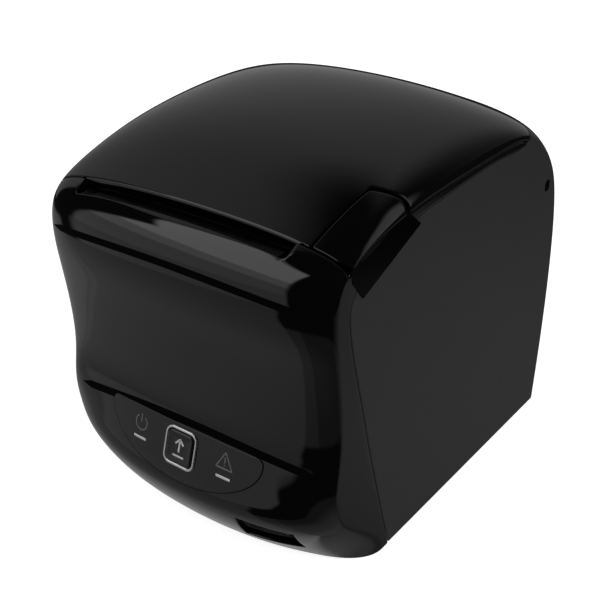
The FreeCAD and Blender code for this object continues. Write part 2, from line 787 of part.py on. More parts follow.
mouth_x = size.mouth_width / 2
mouth_y = front_y + size.lip_setback
mouth_block = slab(mouth_x, mouth_y - size.mouth_open, mouth_y + 10.0, size.case_top - 50.0,
                   size.case_top + 10.0, size.mouth_corner)
paper_mouth = framed("paper_mouth", mouth_block, Placement(Vector(size.mech_shift, 0, 0), Rotation()))
front_blank = common("front_blank", case_skin, front_zone)
front_shell = cut("front_shell", front_blank, cover_zone, paper_mouth, panel_hole, recess_hole, skirt_clear,
                  skirt_path)

bay_hole = box("bay_hole", "board_width + 4", "20", "bay_height", "-board_width / 2 + mech_shift - 2",
               REAR + " - plate_inset - 2", FLOOR_TOP)
side_slot = box("side_slot", "4 * wall", "hatch_size", "hatch_size + 2", HALF + " - 2 * wall",
                REAR + " - 16.4", "case_top - 50")
swing_room = feature("swing_room", hinge_barrel(
    math.hypot(size.hinge_setback - size.shoulder_mid_set, size.tongue_drop - size.hinge_drop) + size.panel_gap,
    -size.tongue_width / 2, size.tongue_width / 2))
main_case = cut("main_case", case_skin, front_zone, front_zone_grown, cover_zone, skirt_clear, bay_hole,
                side_slot, swing_room)

LIP_FRONT = "(lip_setback - case_depth / 2 + panel_gap)"
lip_block = box("lip_block", "mouth_width - 2 * mouth_corner", "lip_wall", "case_top",
                "mech_shift - mouth_width / 2 + mouth_corner", LIP_FRONT, "case_top - lip_wall_drop")
lip_band = common("lip_band", lip_block, outer_form)
cover_open = cut("cover_open", cover_skin, lever_clear, skirt_clear)
top_cover = fuse("top_cover", cover_open, lip_band)

liner_skin = cut("liner_skin", inner_form, liner_form)
liner_block = box("liner_block", "liner_width", "case_depth - lip_setback - liner_front - liner_rear",
                  "case_top",
                  "-liner_width / 2", "lip_setback + liner_front - case_depth / 2", "case_top - 30")
liner_sheet = common("liner_sheet", liner_skin, liner_block)
ARM_PLATE_TOP = "(case_top - arm_plate_drop + arm_thickness)"
boss_block = box("boss_block", "72", "12", "case_top", "mech_shift - 36", PLATEN_Y + " - 4", ARM_PLATE_TOP)
liner_boss = common("liner_boss", boss_block, inner_form)
ears = []
for side, start in (("left", "-tongue_width / 2 + panel_gap + ear_gap"),
                    ("right", "tongue_width / 2 - panel_gap - ear_gap - ear_thickness")):
    knuckle = rod(f"ear_{side}_knuckle", "ear_radius", "ear_thickness", start, HINGE_Y, HINGE_Z)
    stem = box(f"ear_{side}_stem", "ear_thickness", "2 * ear_radius", "case_top", start,
               HINGE_Y + " - ear_radius", HINGE_Z)
    ears += [knuckle, common(f"ear_{side}_inside", stem, inner_form)]
hinge_bore = rod("hinge_bore", "hinge_pin_diameter / 2 + hinge_pin_clearance", "case_width", "-case_width / 2",
                 HINGE_Y, HINGE_Z)
liner_solid = fuse("liner_solid", liner_sheet, liner_boss, *ears)
cover_liner = cut("cover_liner", liner_solid, hinge_bore)

bracket_left = box("bracket_left", "bracket_width", "bracket_depth", "case_top",
                   "-tongue_width / 2 - ear_gap - bracket_width", HINGE_Y + " - bracket_depth / 2",
                   HINGE_Z + " - bracket_drop")
bracket_right = box("bracket_right", "bracket_width", "bracket_depth", "case_top", "tongue_width / 2 + ear_gap",
                    HINGE_Y + " - bracket_depth / 2", HINGE_Z + " - bracket_drop")
bracket_pair = fuse("bracket_pair", bracket_left, bracket_right)
bracket_inside = common("bracket_inside", bracket_pair, inner_form)
pin_seat = rod("pin_seat", "hinge_pin_diameter / 2", "case_width", "-case_width / 2", HINGE_Y, HINGE_Z)
hinge_brackets = cut("hinge_brackets", bracket_inside, pin_seat)
PIN_LENGTH = "bracket_width + 2 * ear_gap + panel_gap + ear_thickness"
hinge_pin_left = rod("hinge_pin_left", "hinge_pin_diameter / 2", PIN_LENGTH,
                     "-tongue_width / 2 - ear_gap - bracket_width", HINGE_Y, HINGE_Z)
hinge_pin_right = rod("hinge_pin_right", "hinge_pin_diameter / 2", PIN_LENGTH,
                      "tongue_width / 2 - ear_gap - panel_gap - ear_thickness", HINGE_Y, HINGE_Z)
hinge_pins = fuse("hinge_pins", hinge_pin_left, hinge_pin_right)

# Base plate, feet, paper well and the screws that hold it

FOOT_X = "(case_width / 2 - foot_inset_x)"
WELL_Y = "(case_depth / 2 - well_setback)"
WELL_Z = "(well_floor + roll_radius)"
leg_places = []
for column, x in (("left", "mech_shift - leg_spacing_x / 2"), ("right", "mech_shift + leg_spacing_x / 2")):
    for row, y in (("front", WELL_Y + " - leg_spacing_y / 2"), ("rear", WELL_Y + " + leg_spacing_y / 2")):
        leg_places.append((f"{row}_{column}", x, y))
base_slab = box("base_slab", "case_width", "case_depth", "base_thickness", "-case_width / 2", FRONT,
                "foot_height")
base_sheet = common("base_sheet", base_slab, inner_form)
screw_ways = [post(f"screw_way_{name}", "screw_diameter / 2 + 0.2", "base_thickness + 2", x, y,
                   "foot_height - 1")
              for name, x, y in leg_places]
base_open = cut("base_open", base_sheet, *screw_ways)
board_stands = []
for row, y in (("front", REAR + " - board_front - board_rear"), ("rear", REAR + " - 30")):
    for column, x in (("left", "mech_shift - board_width / 2 + 4"), ("right",
                                                                     "mech_shift + board_width / 2 - 4")):
        board_stands.append(post(f"stand_{row}_{column}", "2.5", "board_stand", x, y + " + 4", FLOOR_TOP))
base_plate = fuse("base_plate", base_open, *board_stands)

feet = []
for row, y in (("front", FRONT + " + foot_inset_front"), ("rear", REAR + " - foot_inset_rear")):
    for column, x in (("left", "-" + FOOT_X), ("right", FOOT_X)):
        feet.append(post(f"foot_{row}_{column}", "foot_diameter / 2", "foot_height", x, y, "0"))
rubber_feet = fuse("rubber_feet", *feet)

OUTER_ROLL = "(roll_radius + well_wall)"
well_round = rod("well_round", OUTER_ROLL, "well_width + 2 * well_wall",
                 "mech_shift - well_width / 2 - well_wall",
                 WELL_Y, WELL_Z)
well_block = box("well_block", "well_width + 2 * well_wall", "2 * " + OUTER_ROLL, "well_top - " + WELL_Z,
                 "mech_shift - well_width / 2 - well_wall", WELL_Y + " - " + OUTER_ROLL, WELL_Z)
legs = [box(f"leg_{name}", "leg_size", "leg_size", "18 + roll_radius / 4", x + " - leg_size / 2",
            y + " - leg_size / 2", FLOOR_TOP) for name, x, y in leg_places]
roll_round = rod("roll_round", "roll_radius", "well_width", "mech_shift - well_width / 2", WELL_Y, WELL_Z)
roll_block = box("roll_block", "well_width", "2 * roll_radius", "case_top", "mech_shift - well_width / 2",
                 WELL_Y + " - roll_radius", WELL_Z)
screw_seats = [post(f"screw_seat_{name}", "screw_diameter / 2", "screw_grip", x, y, FLOOR_TOP)
               for name, x, y in leg_places]
well_solid = fuse("well_solid", well_round, well_block, *legs)
paper_well = cut("paper_well", well_solid, roll_round, roll_block, *screw_seats)

screws = []
for name, x, y in leg_places:
    screws.append(post(f"screw_shank_{name}", "screw_diameter / 2", "base_thickness + screw_grip", x, y,
                       "foot_height"))
    screws.append(post(f"screw_top_{name}", "screw_head / 2", "screw_head_height", x, y,
                       "foot_height - screw_head_height"))
base_screws = fuse("base_screws", *screws)

# Steel chassis: two side plates and a rear web

plates = []
for side, x in (("left", PLATE_LEFT + " - sheet_steel"), ("right", PLATE_RIGHT)):
    top = PLATEN_Z + " + chassis_shoulder"
    upper = box(f"plate_{side}_upper", "sheet_steel", "chassis_rear - chassis_front", top + " - chassis_step",
                x, FRONT + " + chassis_front", "chassis_step")
    lower = box(f"plate_{side}_lower", "sheet_steel", "chassis_rear - chassis_toe",
                "chassis_step - " + FLOOR_TOP,
                x, FRONT + " + chassis_toe", FLOOR_TOP)
    tab = box(f"plate_{side}_tab", "sheet_steel", "tab_depth", CUT_Z + " - chassis_step - 40", x,
              FRONT + " + tab_front", "chassis_step + 40")
    ear = box(f"plate_{side}_ear", "sheet_steel", "9", LATCH_Z + " + 4 - chassis_step - 40", x,
              LATCH_Y + " - 4.5", "chassis_step + 40")
    plates += [upper, lower, tab, ear]
lever_ear = box("lever_ear", "sheet_steel", "8", LEVER_Z + " + 4 - chassis_step - 40", PLATE_RIGHT,
                LEVER_Y + " - 4", "chassis_step + 40")
web = box("web", "chassis_width", "sheet_steel", "56", PLATE_LEFT,
          FRONT + " + chassis_rear - sheet_steel", FLOOR_TOP)
notch_round = rod("notch_round", "shaft_diameter / 2 + notch_clearance", "case_width", "-case_width / 2",
                  PLATEN_Y, PLATEN_Z)
notch_slot = box("notch_slot", "case_width", "shaft_diameter + 2 * notch_clearance", "20", "-case_width / 2",
                 PLATEN_Y + " - shaft_diameter / 2 - notch_clearance", PLATEN_Z)
latch_bore = rod("latch_bore", "latch_diameter / 2 + shaft_clearance", "case_width", "-case_width / 2",
                 LATCH_Y, LATCH_Z)
lever_pin_seat = rod("lever_pin_seat", "lever_pin_diameter / 2", "case_width / 2", "0", LEVER_Y, LEVER_Z)
chassis_blank = fuse("chassis_blank", *plates, lever_ear, web)

# Platen, its bearings and the bracket under the cover

platen_tube = rod("platen_tube", "platen_diameter / 2", "platen_length", "mech_shift - platen_length / 2",
                  PLATEN_Y, PLATEN_Z)
platen_bore = rod("platen_bore", "shaft_diameter / 2", "platen_length + 2",
                  "mech_shift - platen_length / 2 - 1",
                  PLATEN_Y, PLATEN_Z)
platen_roller = cut("platen_roller", platen_tube, platen_bore)
SHAFT_START = "(" + PLATE_LEFT + " - sheet_steel - gear_plate_gap - gear_width - 1)"
platen_shaft = rod("platen_shaft", "shaft_diameter / 2", PLATE_RIGHT + " + sheet_steel + 1 - " + SHAFT_START,
                   SHAFT_START, PLATEN_Y, PLATEN_Z)
bushes = []
arms = []
for side, sign in (("left", "-"), ("right", "+")):
    inner = f"mech_shift {sign} arm_spacing / 2"
    start = inner if sign == "+" else inner + " - arm_thickness"
    bushes.append(rod(f"bush_{side}_body", "bush_diameter / 2 - 1", "arm_thickness", start, PLATEN_Y, PLATEN_Z))
    flange_start = inner + " - bush_flange" if sign == "+" else inner
    bushes.append(rod(f"bush_{side}_flange", "bush_diameter / 2", "bush_flange", flange_start, PLATEN_Y,
                      PLATEN_Z))
    arms.append(box(f"arm_{side}", "arm_thickness", "11", "case_top - arm_plate_drop - " + PLATEN_Z + " + 5.5",
                    start, PLATEN_Y + " - 5.5", PLATEN_Z + " - 5.5"))
bush_solid = fuse("bush_solid", *bushes)
bush_bore = rod("bush_bore", "shaft_diameter / 2 + shaft_clearance", "case_width", "-case_width / 2",
                PLATEN_Y, PLATEN_Z)
platen_bushes = cut("platen_bushes", bush_solid, bush_bore)
arm_plate = box("arm_plate", "arm_spacing + 2 * arm_thickness", "12", "arm_thickness",
                "mech_shift - arm_spacing / 2 - arm_thickness", PLATEN_Y + " - 5.5",
                "case_top - arm_plate_drop")
arm_seat = rod("arm_seat", "bush_diameter / 2 - 1", "case_width", "-case_width / 2", PLATEN_Y, PLATEN_Z)
bracket_solid = fuse("bracket_solid", *arms, arm_plate)
platen_bracket = cut("platen_bracket", bracket_solid, arm_seat)

# Paper drive gears


def sketch_on(body, name, role):
    """A sketch on one of a body's own origin planes."""
    plane = next(item for item in body.Origin.OriginFeatures if item.Role == role)
    drawing = body.newObject("Sketcher::SketchObject", name)
    drawing.AttachmentSupport = [(plane, "")]
    drawing.MapMode = "FlatFace"
    return drawing


def bound_circle(drawing, radius):
    """A circle about the sketch's origin with a bound radius."""
    index = drawing.addGeometry(Part.Circle(Vector(), Vector(0, 0, 1), 5.0), False)
    drawing.addConstraint(Sketcher.Constraint("Coincident", index, 3, -1, 1))
    rule = drawing.addConstraint(Sketcher.Constraint("Radius", index, 5.0))
    drawing.setExpression(f"Constraints[{rule}]", bound(radius))
    return index


def gear(name, teeth, bore, x, y, z, phase):
    """A spur gear along X: a blank with a bore, one tooth and a ring of copies of it."""
    body = doc.addObject("PartDesign::Body", name)
    disc = sketch_on(body, name + "_disc", "YZ_Plane")
    bound_circle(disc, f"gear_module * ({teeth} / 2 - 1.2)")
    bound_circle(disc, bore)
    blank = body.newObject("PartDesign::Pad", name + "_blank")
    blank.Profile = disc
    blank.setExpression("Length", bound("gear_width"))
    flank = sketch_on(body, name + "_flank", "YZ_Plane")
    corners = [Vector(4, -1, 0), Vector(6, -0.5, 0), Vector(6, 0.5, 0), Vector(4, 1, 0)]
    for start, end in zip(corners, corners[1:] + corners[:1]):
        flank.addGeometry(Part.LineSegment(start, end), False)
    pitch = "(3.14159 * gear_module)"
    root = f"gear_module * ({teeth} / 2 - 1.3)"
    crown = f"gear_module * ({teeth} / 2 + 0.9)"
    places = [(root, f"-{pitch} * (tooth_share + 0.12) / 2"), (crown, f"-{pitch} * (tooth_share - 0.18) / 2"),
              (crown, f"{pitch} * (tooth_share - 0.18) / 2"), (root, f"{pitch} * (tooth_share + 0.12) / 2")]
    for index in range(4):
        flank.addConstraint(Sketcher.Constraint("Coincident", index, 2, (index + 1) % 4, 1))
    for index, (along, across) in enumerate(places):
        corner = corners[index]
        rule = flank.addConstraint(Sketcher.Constraint("DistanceX", -1, 1, index, 1, corner.x))
        flank.setExpression(f"Constraints[{rule}]", bound(along))
        rule = flank.addConstraint(Sketcher.Constraint("DistanceY", -1, 1, index, 1, corner.y))
        flank.setExpression(f"Constraints[{rule}]", bound(across))
    tooth = body.newObject("PartDesign::Pad", name + "_tooth")
    tooth.Profile = flank
    tooth.setExpression("Length", bound("gear_width"))
    ring = body.newObject("PartDesign::PolarPattern", name + "_ring")
    ring.Originals = [tooth]
    axis = next(item for item in body.Origin.OriginFeatures if item.Role == "X_Axis")
    ring.Axis = (axis, [""])
    ring.Angle = 360.0
    ring.setExpression("Occurrences", bound(teeth))
    body.Tip = ring
    body.Placement = Placement(Vector(x, y, z), Rotation(Vector(1, 0, 0), phase))
    return body


def polar(start, angle, distance):
    """A point on the side view at an angle and distance from another."""
    turn = math.radians(angle)
    return Vector(0, start.y + distance * math.cos(turn), start.z + distance * math.sin(turn))


platen_point = Vector(0, front_y + size.platen_setback, size.case_top - size.platen_drop)
idler_reach = size.gear_module * (size.platen_teeth + size.idler_teeth) / 2 + size.gear_mesh_gap
idler_point = polar(platen_point, size.idler_angle, idler_reach)
pinion_reach = size.gear_module * (size.idler_teeth + size.pinion_teeth) / 2 + size.gear_mesh_gap
pinion_point = polar(idler_point, size.pinion_angle, pinion_reach)
gear_x = size.mech_shift - size.chassis_width / 2 - size.sheet_steel - size.gear_plate_gap - size.gear_width
idler_phase = size.idler_angle + 180 + 180 / size.idler_teeth
idler_pitch = 360 / size.idler_teeth
past_tooth = ((size.pinion_angle - idler_phase) % idler_pitch) / idler_pitch
pinion_phase = size.pinion_angle + 180 + 360 / size.pinion_teeth * (past_tooth - 0.5)
platen_gear = gear("platen_gear", "platen_teeth", "shaft_diameter / 2", gear_x, platen_point.y, platen_point.z,
                   size.idler_angle)
idler_gear = gear("idler_gear", "idler_teeth", "motor_shaft / 2 + shaft_clearance", gear_x, idler_point.y,
                  idler_point.z, idler_phase)
motor_pinion = gear("motor_pinion", "pinion_teeth", "1.5", gear_x, pinion_point.y, pinion_point.z, pinion_phase)
pin_reach = size.gear_width + size.gear_plate_gap + size.sheet_steel + 0.5
idler_pin_shape = Part.makeCylinder(size.motor_shaft / 2, pin_reach, Vector(gear_x - 0.5, idler_point.y,
                                                                            idler_point.z),
                                    Vector(1, 0, 0))
idler_pin = feature("idler_pin", idler_pin_shape)
idler_seat = feature("idler_seat", idler_pin_shape)
motor_x = size.mech_shift - size.chassis_width / 2
motor_can = Part.makeCylinder(size.motor_diameter / 2, size.motor_length, Vector(motor_x, pinion_point.y,
                                                                                 pinion_point.z),
                              Vector(1, 0, 0))
shaft_reach = size.gear_width + size.gear_plate_gap + size.sheet_steel
spindle_room = Part.makeCylinder(2.0, 10.0, Vector(motor_x - 5, pinion_point.y, pinion_point.z), Vector(1,
                                                                                                        0, 0))
pinion_spindle_shape = Part.makeCylinder(1.5, shaft_reach + 2.0, Vector(gear_x, pinion_point.y, pinion_point.z),
                                         Vector(1, 0, 0))
spindle_void = Part.makeCylinder(1.54, 2.5, Vector(motor_x - 0.1, pinion_point.y, pinion_point.z),
                                 Vector(1, 0, 0))
feed_motor = feature("feed_motor", motor_can.cut(spindle_void))
motor_spindle = feature("motor_spindle", pinion_spindle_shape)
spindle_way = feature("spindle_way", spindle_room)
chassis_frame = cut("chassis_frame", chassis_blank, notch_round, notch_slot, latch_bore, lever_pin_seat,
                    idler_seat, spindle_way)

# Print head, cutter and tear bar

head_plate = box("print_head", "platen_length", "head_thickness", "head_height",
                 "mech_shift - platen_length / 2",
                 HEAD_FACE + " - head_thickness", PLATEN_Z + " + head_rise - head_height")
sink_bar = box("sink_bar", "platen_length + 2", "sink_thickness", "head_height + sink_drop",
               "mech_shift - platen_length / 2 - 1", HEAD_FACE + " - head_thickness - sink_thickness",
               PLATEN_Z + " + head_rise - head_height - sink_drop")
sink_ends = box("sink_ends", "chassis_width", "sink_thickness", "sink_drop", PLATE_LEFT,
                HEAD_FACE + " - head_thickness - sink_thickness",
                PLATEN_Z + " + head_rise - head_height - sink_drop")
heat_sink = fuse("heat_sink", sink_bar, sink_ends)
spring_strip = box("spring_strip", "40", "spring_leaf", "12", "mech_shift - 20",
                   HEAD_FACE + " - head_thickness - sink_thickness - spring_leaf", PLATEN_Z + " - 12")
spring_foot = box("spring_foot", "10", "2", "spring_leaf", "mech_shift - 5",
                  HEAD_FACE + " - head_thickness - sink_thickness - spring_leaf - 2", PLATEN_Z + " - 12")
head_spring = fuse("head_spring", spring_strip, spring_foot)

BLADE_REST = "(" + HEAD_FACE + " - 3)"
cutter_frame = box("cutter_frame", "chassis_width", "blade_depth", "cutter_frame_height", PLATE_LEFT,
                   BLADE_REST + " - blade_depth", CUT_Z + " - cutter_frame_height")
moving_blade = box("moving_blade", "platen_length + 4", "blade_depth", "blade_thickness",
                   "mech_shift - platen_length / 2 - 2", BLADE_REST + " - blade_depth", CUT_Z)
fixed_flat = box("fixed_flat", "platen_length", "blade_travel + 1.5", "fixed_thickness",
                 "mech_shift - platen_length / 2", BLADE_REST + " + fixed_front",
                 CUT_Z + " - blade_gap - fixed_thickness")
fixed_wall = box("fixed_wall", "platen_length", "fixed_thickness", "case_top - arm_plate_drop - " + CUT_Z
                 + " + blade_gap + fixed_thickness", "mech_shift - platen_length / 2",
                 BLADE_REST + " + fixed_front + blade_travel + 1.5 - fixed_thickness",
                 CUT_Z + " - blade_gap - fixed_thickness")
fixed_blade = fuse("fixed_blade", fixed_flat, fixed_wall)
tear_bar = box("tear_bar", "platen_length + 2", "tear_thickness", "2.4", "mech_shift - platen_length / 2 - 1",
               LIP_BACK, "case_top - lip_wall_drop")
cutter_motor_can = box("cutter_motor", "26", "14", "18", "mech_shift - 13",
                       FRONT + " + chassis_rear - sheet_steel - 14", FLOOR_TOP + " + 34")

# Latch bar under the cover, worked by the lever

latch_rod = rod("latch_rod", "latch_diameter / 2",
                rib_x + " + 2 * hook_thickness - " + PLATE_LEFT + " + sheet_steel + 1",
                PLATE_LEFT + " - sheet_steel - 1", LATCH_Y, LATCH_Z)
hook_parts = [latch_rod]
for side, x in (("left", PLATE_LEFT + " + 0.45"), ("right", PLATE_RIGHT + " - 0.45 - hook_thickness")):
    reach = LATCH_Y + " - " + PLATEN_Y + " - shaft_diameter / 2 - nose_gap"
    nose_y = PLATEN_Y + " + shaft_diameter / 2 + nose_gap"
    hook_parts.append(box(f"hook_{side}_arm", "hook_thickness", reach, "4", x, nose_y, LATCH_Z + " - 2"))
    hook_parts.append(box(f"hook_{side}_nose", "hook_thickness", "2", "7", x, nose_y, LATCH_Z + " - 7"))
hook_parts.append(box("latch_lever_arm", "2 * hook_thickness", "latch_diameter", "latch_arm", rib_x,
                      LATCH_Y + " - latch_diameter / 2", LATCH_Z + " - latch_arm"))
latch_bar = fuse("latch_bar", *hook_parts)

# Main board, its sockets and the rear plate

main_board = box("main_board", "board_width", "board_front", "board_thickness", "mech_shift - board_width / 2",
                 REAR + " - board_front - board_rear", FLOOR_TOP + " + board_stand")
chips = [
    box("chip_processor", "14", "14", "1.6", "mech_shift - 18", REAR + " - 60", BOARD_TOP),
    box("chip_memory", "8", "12", "1.2", "mech_shift + 4", REAR + " - 62", BOARD_TOP),
    box("chip_driver", "7", "10", "1.4", "mech_shift + 15", REAR + " - 60", BOARD_TOP),
    post("chip_capacitor", "4", "9", "mech_shift - 6", REAR + " - 38", BOARD_TOP),
]
board_chips = fuse("board_chips", *chips)

SOCKET_Y = "(case_depth / 2 - socket_face)"
socket_holes = []
socket_nodes = {}
for name, x, across, tall, opening_x, opening_z in (
        ("power_inlet", -19.5, 13.0, 13.0, 9.0, 9.0), ("usb_socket", -5.0, 12.0, 11.0, 8.4, 7.4),
        ("drawer_socket", 8.0, 13.0, 12.5, 9.6, 7.0), ("serial_socket", 21.0, 11.0, 12.5, 7.6, 8.0)):
    outer = box(f"{name}_shell", f"{across}", "16", f"{tall}", f"mech_shift + {x} - {across} / 2",
                SOCKET_Y + " - 16", BOARD_TOP)
    mouth = box(f"{name}_mouth", f"{opening_x}", "10", f"{opening_z}", f"mech_shift + {x} - {opening_x} / 2",
                SOCKET_Y + " - 9", BOARD_TOP + f" + {tall} / 2 - {opening_z} / 2")
    socket_nodes[name] = cut(name, outer, mouth)
    socket_holes.append(box(f"{name}_way", f"{across}", "10", f"{tall}", f"mech_shift + {x} - {across} / 2",
                            SOCKET_Y + " - 6", BOARD_TOP))
plate_sheet = box("plate_sheet", "board_width + 3.4", "sheet_steel", "bay_height - 0.3",
                  "-board_width / 2 + mech_shift - 1.7", REAR + " - plate_inset - sheet_steel + 2", FLOOR_TOP)
socket_plate = cut("socket_plate", plate_sheet, *socket_holes)

# Small switches and sensors

cover_switch = box("cover_switch", "6", "8", "6", PLATE_RIGHT + " - 6", FRONT + " + chassis_rear - 12",
                   PLATEN_Z + " - 12")
paper_sensor = box("paper_sensor", "8", "5", "4", "mech_shift - 4", WELL_Y + " - " + OUTER_ROLL + " - 5",
                   "well_top - 14")
buzzer = post("buzzer", "6", "7", "mech_shift + 16", REAR + " - 33", BOARD_TOP)

doc.recompute()

NODES = {
    "main_case": main_case, "front_shell": front_shell, "top_cover": top_cover, "cover_liner": cover_liner,
    "cover_lever": cover_lever, "lever_pin": lever_pin, "hinge_brackets": hinge_brackets,
    "hinge_pins": hinge_pins,
    "base_plate": base_plate, "rubber_feet": rubber_feet, "base_screws": base_screws,
    "control_panel": control_panel, "power_lens": power_lens, "error_lens": error_lens,
    "button_ring": button_ring, "feed_button": feed_button, "panel_board": panel_board,
    "tact_switch": tact_switch, "panel_leds": panel_leds, "switch_bezel": switch_bezel,
    "power_rocker": power_rocker, "paper_well": paper_well, "chassis_frame": chassis_frame,
    "platen_roller": platen_roller, "platen_shaft": platen_shaft, "platen_bushes": platen_bushes,
    "platen_bracket": platen_bracket, "platen_gear": platen_gear, "idler_gear": idler_gear,
    "idler_pin": idler_pin, "motor_pinion": motor_pinion, "motor_spindle": motor_spindle,
    "feed_motor": feed_motor, "print_head": head_plate, "heat_sink": heat_sink, "head_spring": head_spring,
    "cutter_frame": cutter_frame, "moving_blade": moving_blade, "fixed_blade": fixed_blade,
    "tear_bar": tear_bar, "cutter_motor": cutter_motor_can, "latch_bar": latch_bar, "main_board": main_board,
    "board_chips": board_chips, "socket_plate": socket_plate, "cover_switch": cover_switch,
    "paper_sensor": paper_sensor, "buzzer": buzzer, **socket_nodes,
}

for thing in doc.Objects:
    if "Invalid" in thing.State or "Error" in thing.State:
        raise RuntimeError(f"{thing.Name} did not build: {thing.State}")
os.makedirs("parts", exist_ok=True)
for node, thing in NODES.items():
    thing.Label = node
    shape = thing.Shape
    if shape.isNull() or not shape.isValid() or not shape.Solids:
        raise RuntimeError(f"{node} is not a sound solid")
    shape.exportStep(f"parts/{node}.step")
    print(f"{node}: {len(shape.Solids)} solids, {shape.Volume / 1000:.2f} cm3")
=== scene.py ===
# %% [markdown]
# # A receipt printer, dressed for its picture
#
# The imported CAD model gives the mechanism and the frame. Its solids are exact, but polished black
# plastic shows every facet of their meshes. So this lesson lays clean, dense skins over the outer
# pieces, and then gives every piece its own procedural finish. Meshes are in metres, with X to the
# right, the front towards -Y and Z up. The form is worked out in millimetres.

# %% Load the frame
import json
import math

import bmesh
import bpy
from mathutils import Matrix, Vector


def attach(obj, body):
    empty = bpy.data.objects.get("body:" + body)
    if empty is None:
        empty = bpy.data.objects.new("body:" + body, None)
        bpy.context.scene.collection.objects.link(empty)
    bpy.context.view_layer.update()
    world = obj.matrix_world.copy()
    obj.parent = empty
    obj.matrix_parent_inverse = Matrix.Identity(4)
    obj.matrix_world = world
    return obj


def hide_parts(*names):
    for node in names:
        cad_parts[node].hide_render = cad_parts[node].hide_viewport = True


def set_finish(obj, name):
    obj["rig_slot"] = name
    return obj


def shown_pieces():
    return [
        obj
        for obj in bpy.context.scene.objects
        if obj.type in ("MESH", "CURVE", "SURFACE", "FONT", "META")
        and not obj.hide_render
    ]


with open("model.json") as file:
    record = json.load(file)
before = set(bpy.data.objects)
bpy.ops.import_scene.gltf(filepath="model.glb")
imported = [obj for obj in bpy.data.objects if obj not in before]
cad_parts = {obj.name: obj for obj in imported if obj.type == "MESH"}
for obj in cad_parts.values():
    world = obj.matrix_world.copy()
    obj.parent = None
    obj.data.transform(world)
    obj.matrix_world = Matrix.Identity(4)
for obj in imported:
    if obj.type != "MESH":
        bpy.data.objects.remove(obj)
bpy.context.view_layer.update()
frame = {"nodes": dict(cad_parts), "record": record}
nodes = frame["nodes"]
print("CAD nodes:", len(nodes))

# %% [markdown]
# ## The form of the case
#
# On the printer one continuous surface runs up the front, over the top and down the back. It could be
# sculpted, but then no seam would be exact. Two outlines drive it instead: a middle line, and a side
# line on the flat flanks. A station is (middle y, middle z, side y, side z) in millimetres, and the
# stations follow the surface from the foot of the front to the foot of the back.

# %% Outline stations
MM = 0.001
HALF_WIDTH = 64.0
FULLNESS = 0.85
STATIONS = [
    (-68.0, 0.5, -44.0, 0.5), (-79.5, 10.5, -50.0, 11.5), (-86.9, 25.5, -65.0, 24.5),
    (-84.3, 37.5, -72.3, 33.0), (-80.5, 51.0, -74.7, 47.0), (-79.6, 58.5, -72.9, 60.8),
    (-83.5, 92.0, -74.5, 92.0), (-86.7, 111.0, -76.1, 108.0), (-83.4, 125.5, -74.9, 121.0),
    (-71.5, 134.2, -66.5, 129.0), (-49.5, 147.0, -47.5, 134.2), (-19.5, 156.0, -19.5, 137.1),
    (22.5, 157.6, 22.5, 138.0), (50.5, 148.5, 50.5, 135.4), (68.5, 140.0, 67.5, 124.0),
    (80.5, 121.0, 79.0, 109.3), (87.0, 62.0, 85.9, 60.0), (84.5, 0.5, 84.0, 0.5),
]
print("stations:", len(STATIONS))

# %% [markdown]
# ## Slope at the end of a line
#
# A moulded line leaves its end in a certain direction, and a smooth curve has to be told that direction.
# It could be given by hand for every line. Here it is taken from the first four points, by the one cubic
# that passes through them.

# %% End slope
def end_slope(us, values):
    """Slope at the first of four points, from the cubic through them."""
    slope = 0.0
    for i in range(4):
        others = [k for k in range(4) if k != i]
        scale = 1.0
        for k in others:
            scale *= us[i] - us[k]
        rate = sum(math.prod(us[0] - us[k] for k in others if k != left) for left in others)
        slope += values[i] * rate / scale
    return slope


print("slope of a cube at its start:", end_slope([0, 1, 2, 3], [0, 1, 8, 27]))

# %% [markdown]
# ## A smooth line through points
#
# A moulded surface has no kinks where light runs over it, and straight stretches between the stations
# would show as facets in the gloss. A curve object would have to be sampled to find its points. A cubic
# spline is short to work out, and can be read at any place along the line.

# %% Smooth curve
class Curve:
    """A smooth curve through points on given parameters."""

    def __init__(self, us, points):
        self.us = us
        self.points = points
        self.slopes = list(zip(*[self.solve([p[k] for p in points]) for k in range(2)]))

    def solve(self, values):
        """Slopes at all points, such that the curve's bend changes smoothly."""
        us = self.us
        count = len(us)
        first = end_slope(us[:4], values[:4])
        last = end_slope(us[:-5:-1], values[:-5:-1])
        upper = [0.0] * count
        right = [first] + [0.0] * (count - 1)
        for i in range(1, count - 1):
            before, after = us[i] - us[i - 1], us[i + 1] - us[i]
            came, goes = values[i] - values[i - 1], values[i + 1] - values[i]
            rise = 3 * (after * came / before + before * goes / after)
            pivot = 2 * (before + after) - after * upper[i - 1]
            upper[i] = before / pivot
            right[i] = (rise - after * right[i - 1]) / pivot
        right[-1] = last
        for i in range(count - 2, 0, -1):
            right[i] -= upper[i] * right[i + 1]
        return right

    def at(self, u):
        """The point at a parameter."""
        us = self.us
        i = max(k for k in range(len(us) - 1) if us[k] <= u or k == 0)
        span = us[i + 1] - us[i]
        part = (u - us[i]) / span
        keep = (1 + 2 * part) * (1 - part) ** 2
        lead = part * (1 - part) ** 2 * span
        take = part * part * (3 - 2 * part)
        trail = part * part * (part - 1) * span
        start, end = self.points[i], self.points[i + 1]
        out, into = self.slopes[i], self.slopes[i + 1]
        return tuple(keep * start[k] + lead * out[k] + take * end[k] + trail * into[k] for k in range(2))


arch = Curve([0, 1, 2, 3], [(0, 0), (1, 1), (2, 1), (3, 0)])
print("top of a curve through four points:", arch.at(1.5))

# %% [markdown]
# ## The two outlines
#
# The real case has a few places that the seams refer to: the chin, the nose, the lip, the crown, the
# hood over the hinge and the foot of the back. Evenly counted stations would make the curve swing out
# where two of them are close. So each step along the outline is the root of the distance, and the
# places are named by their steps.

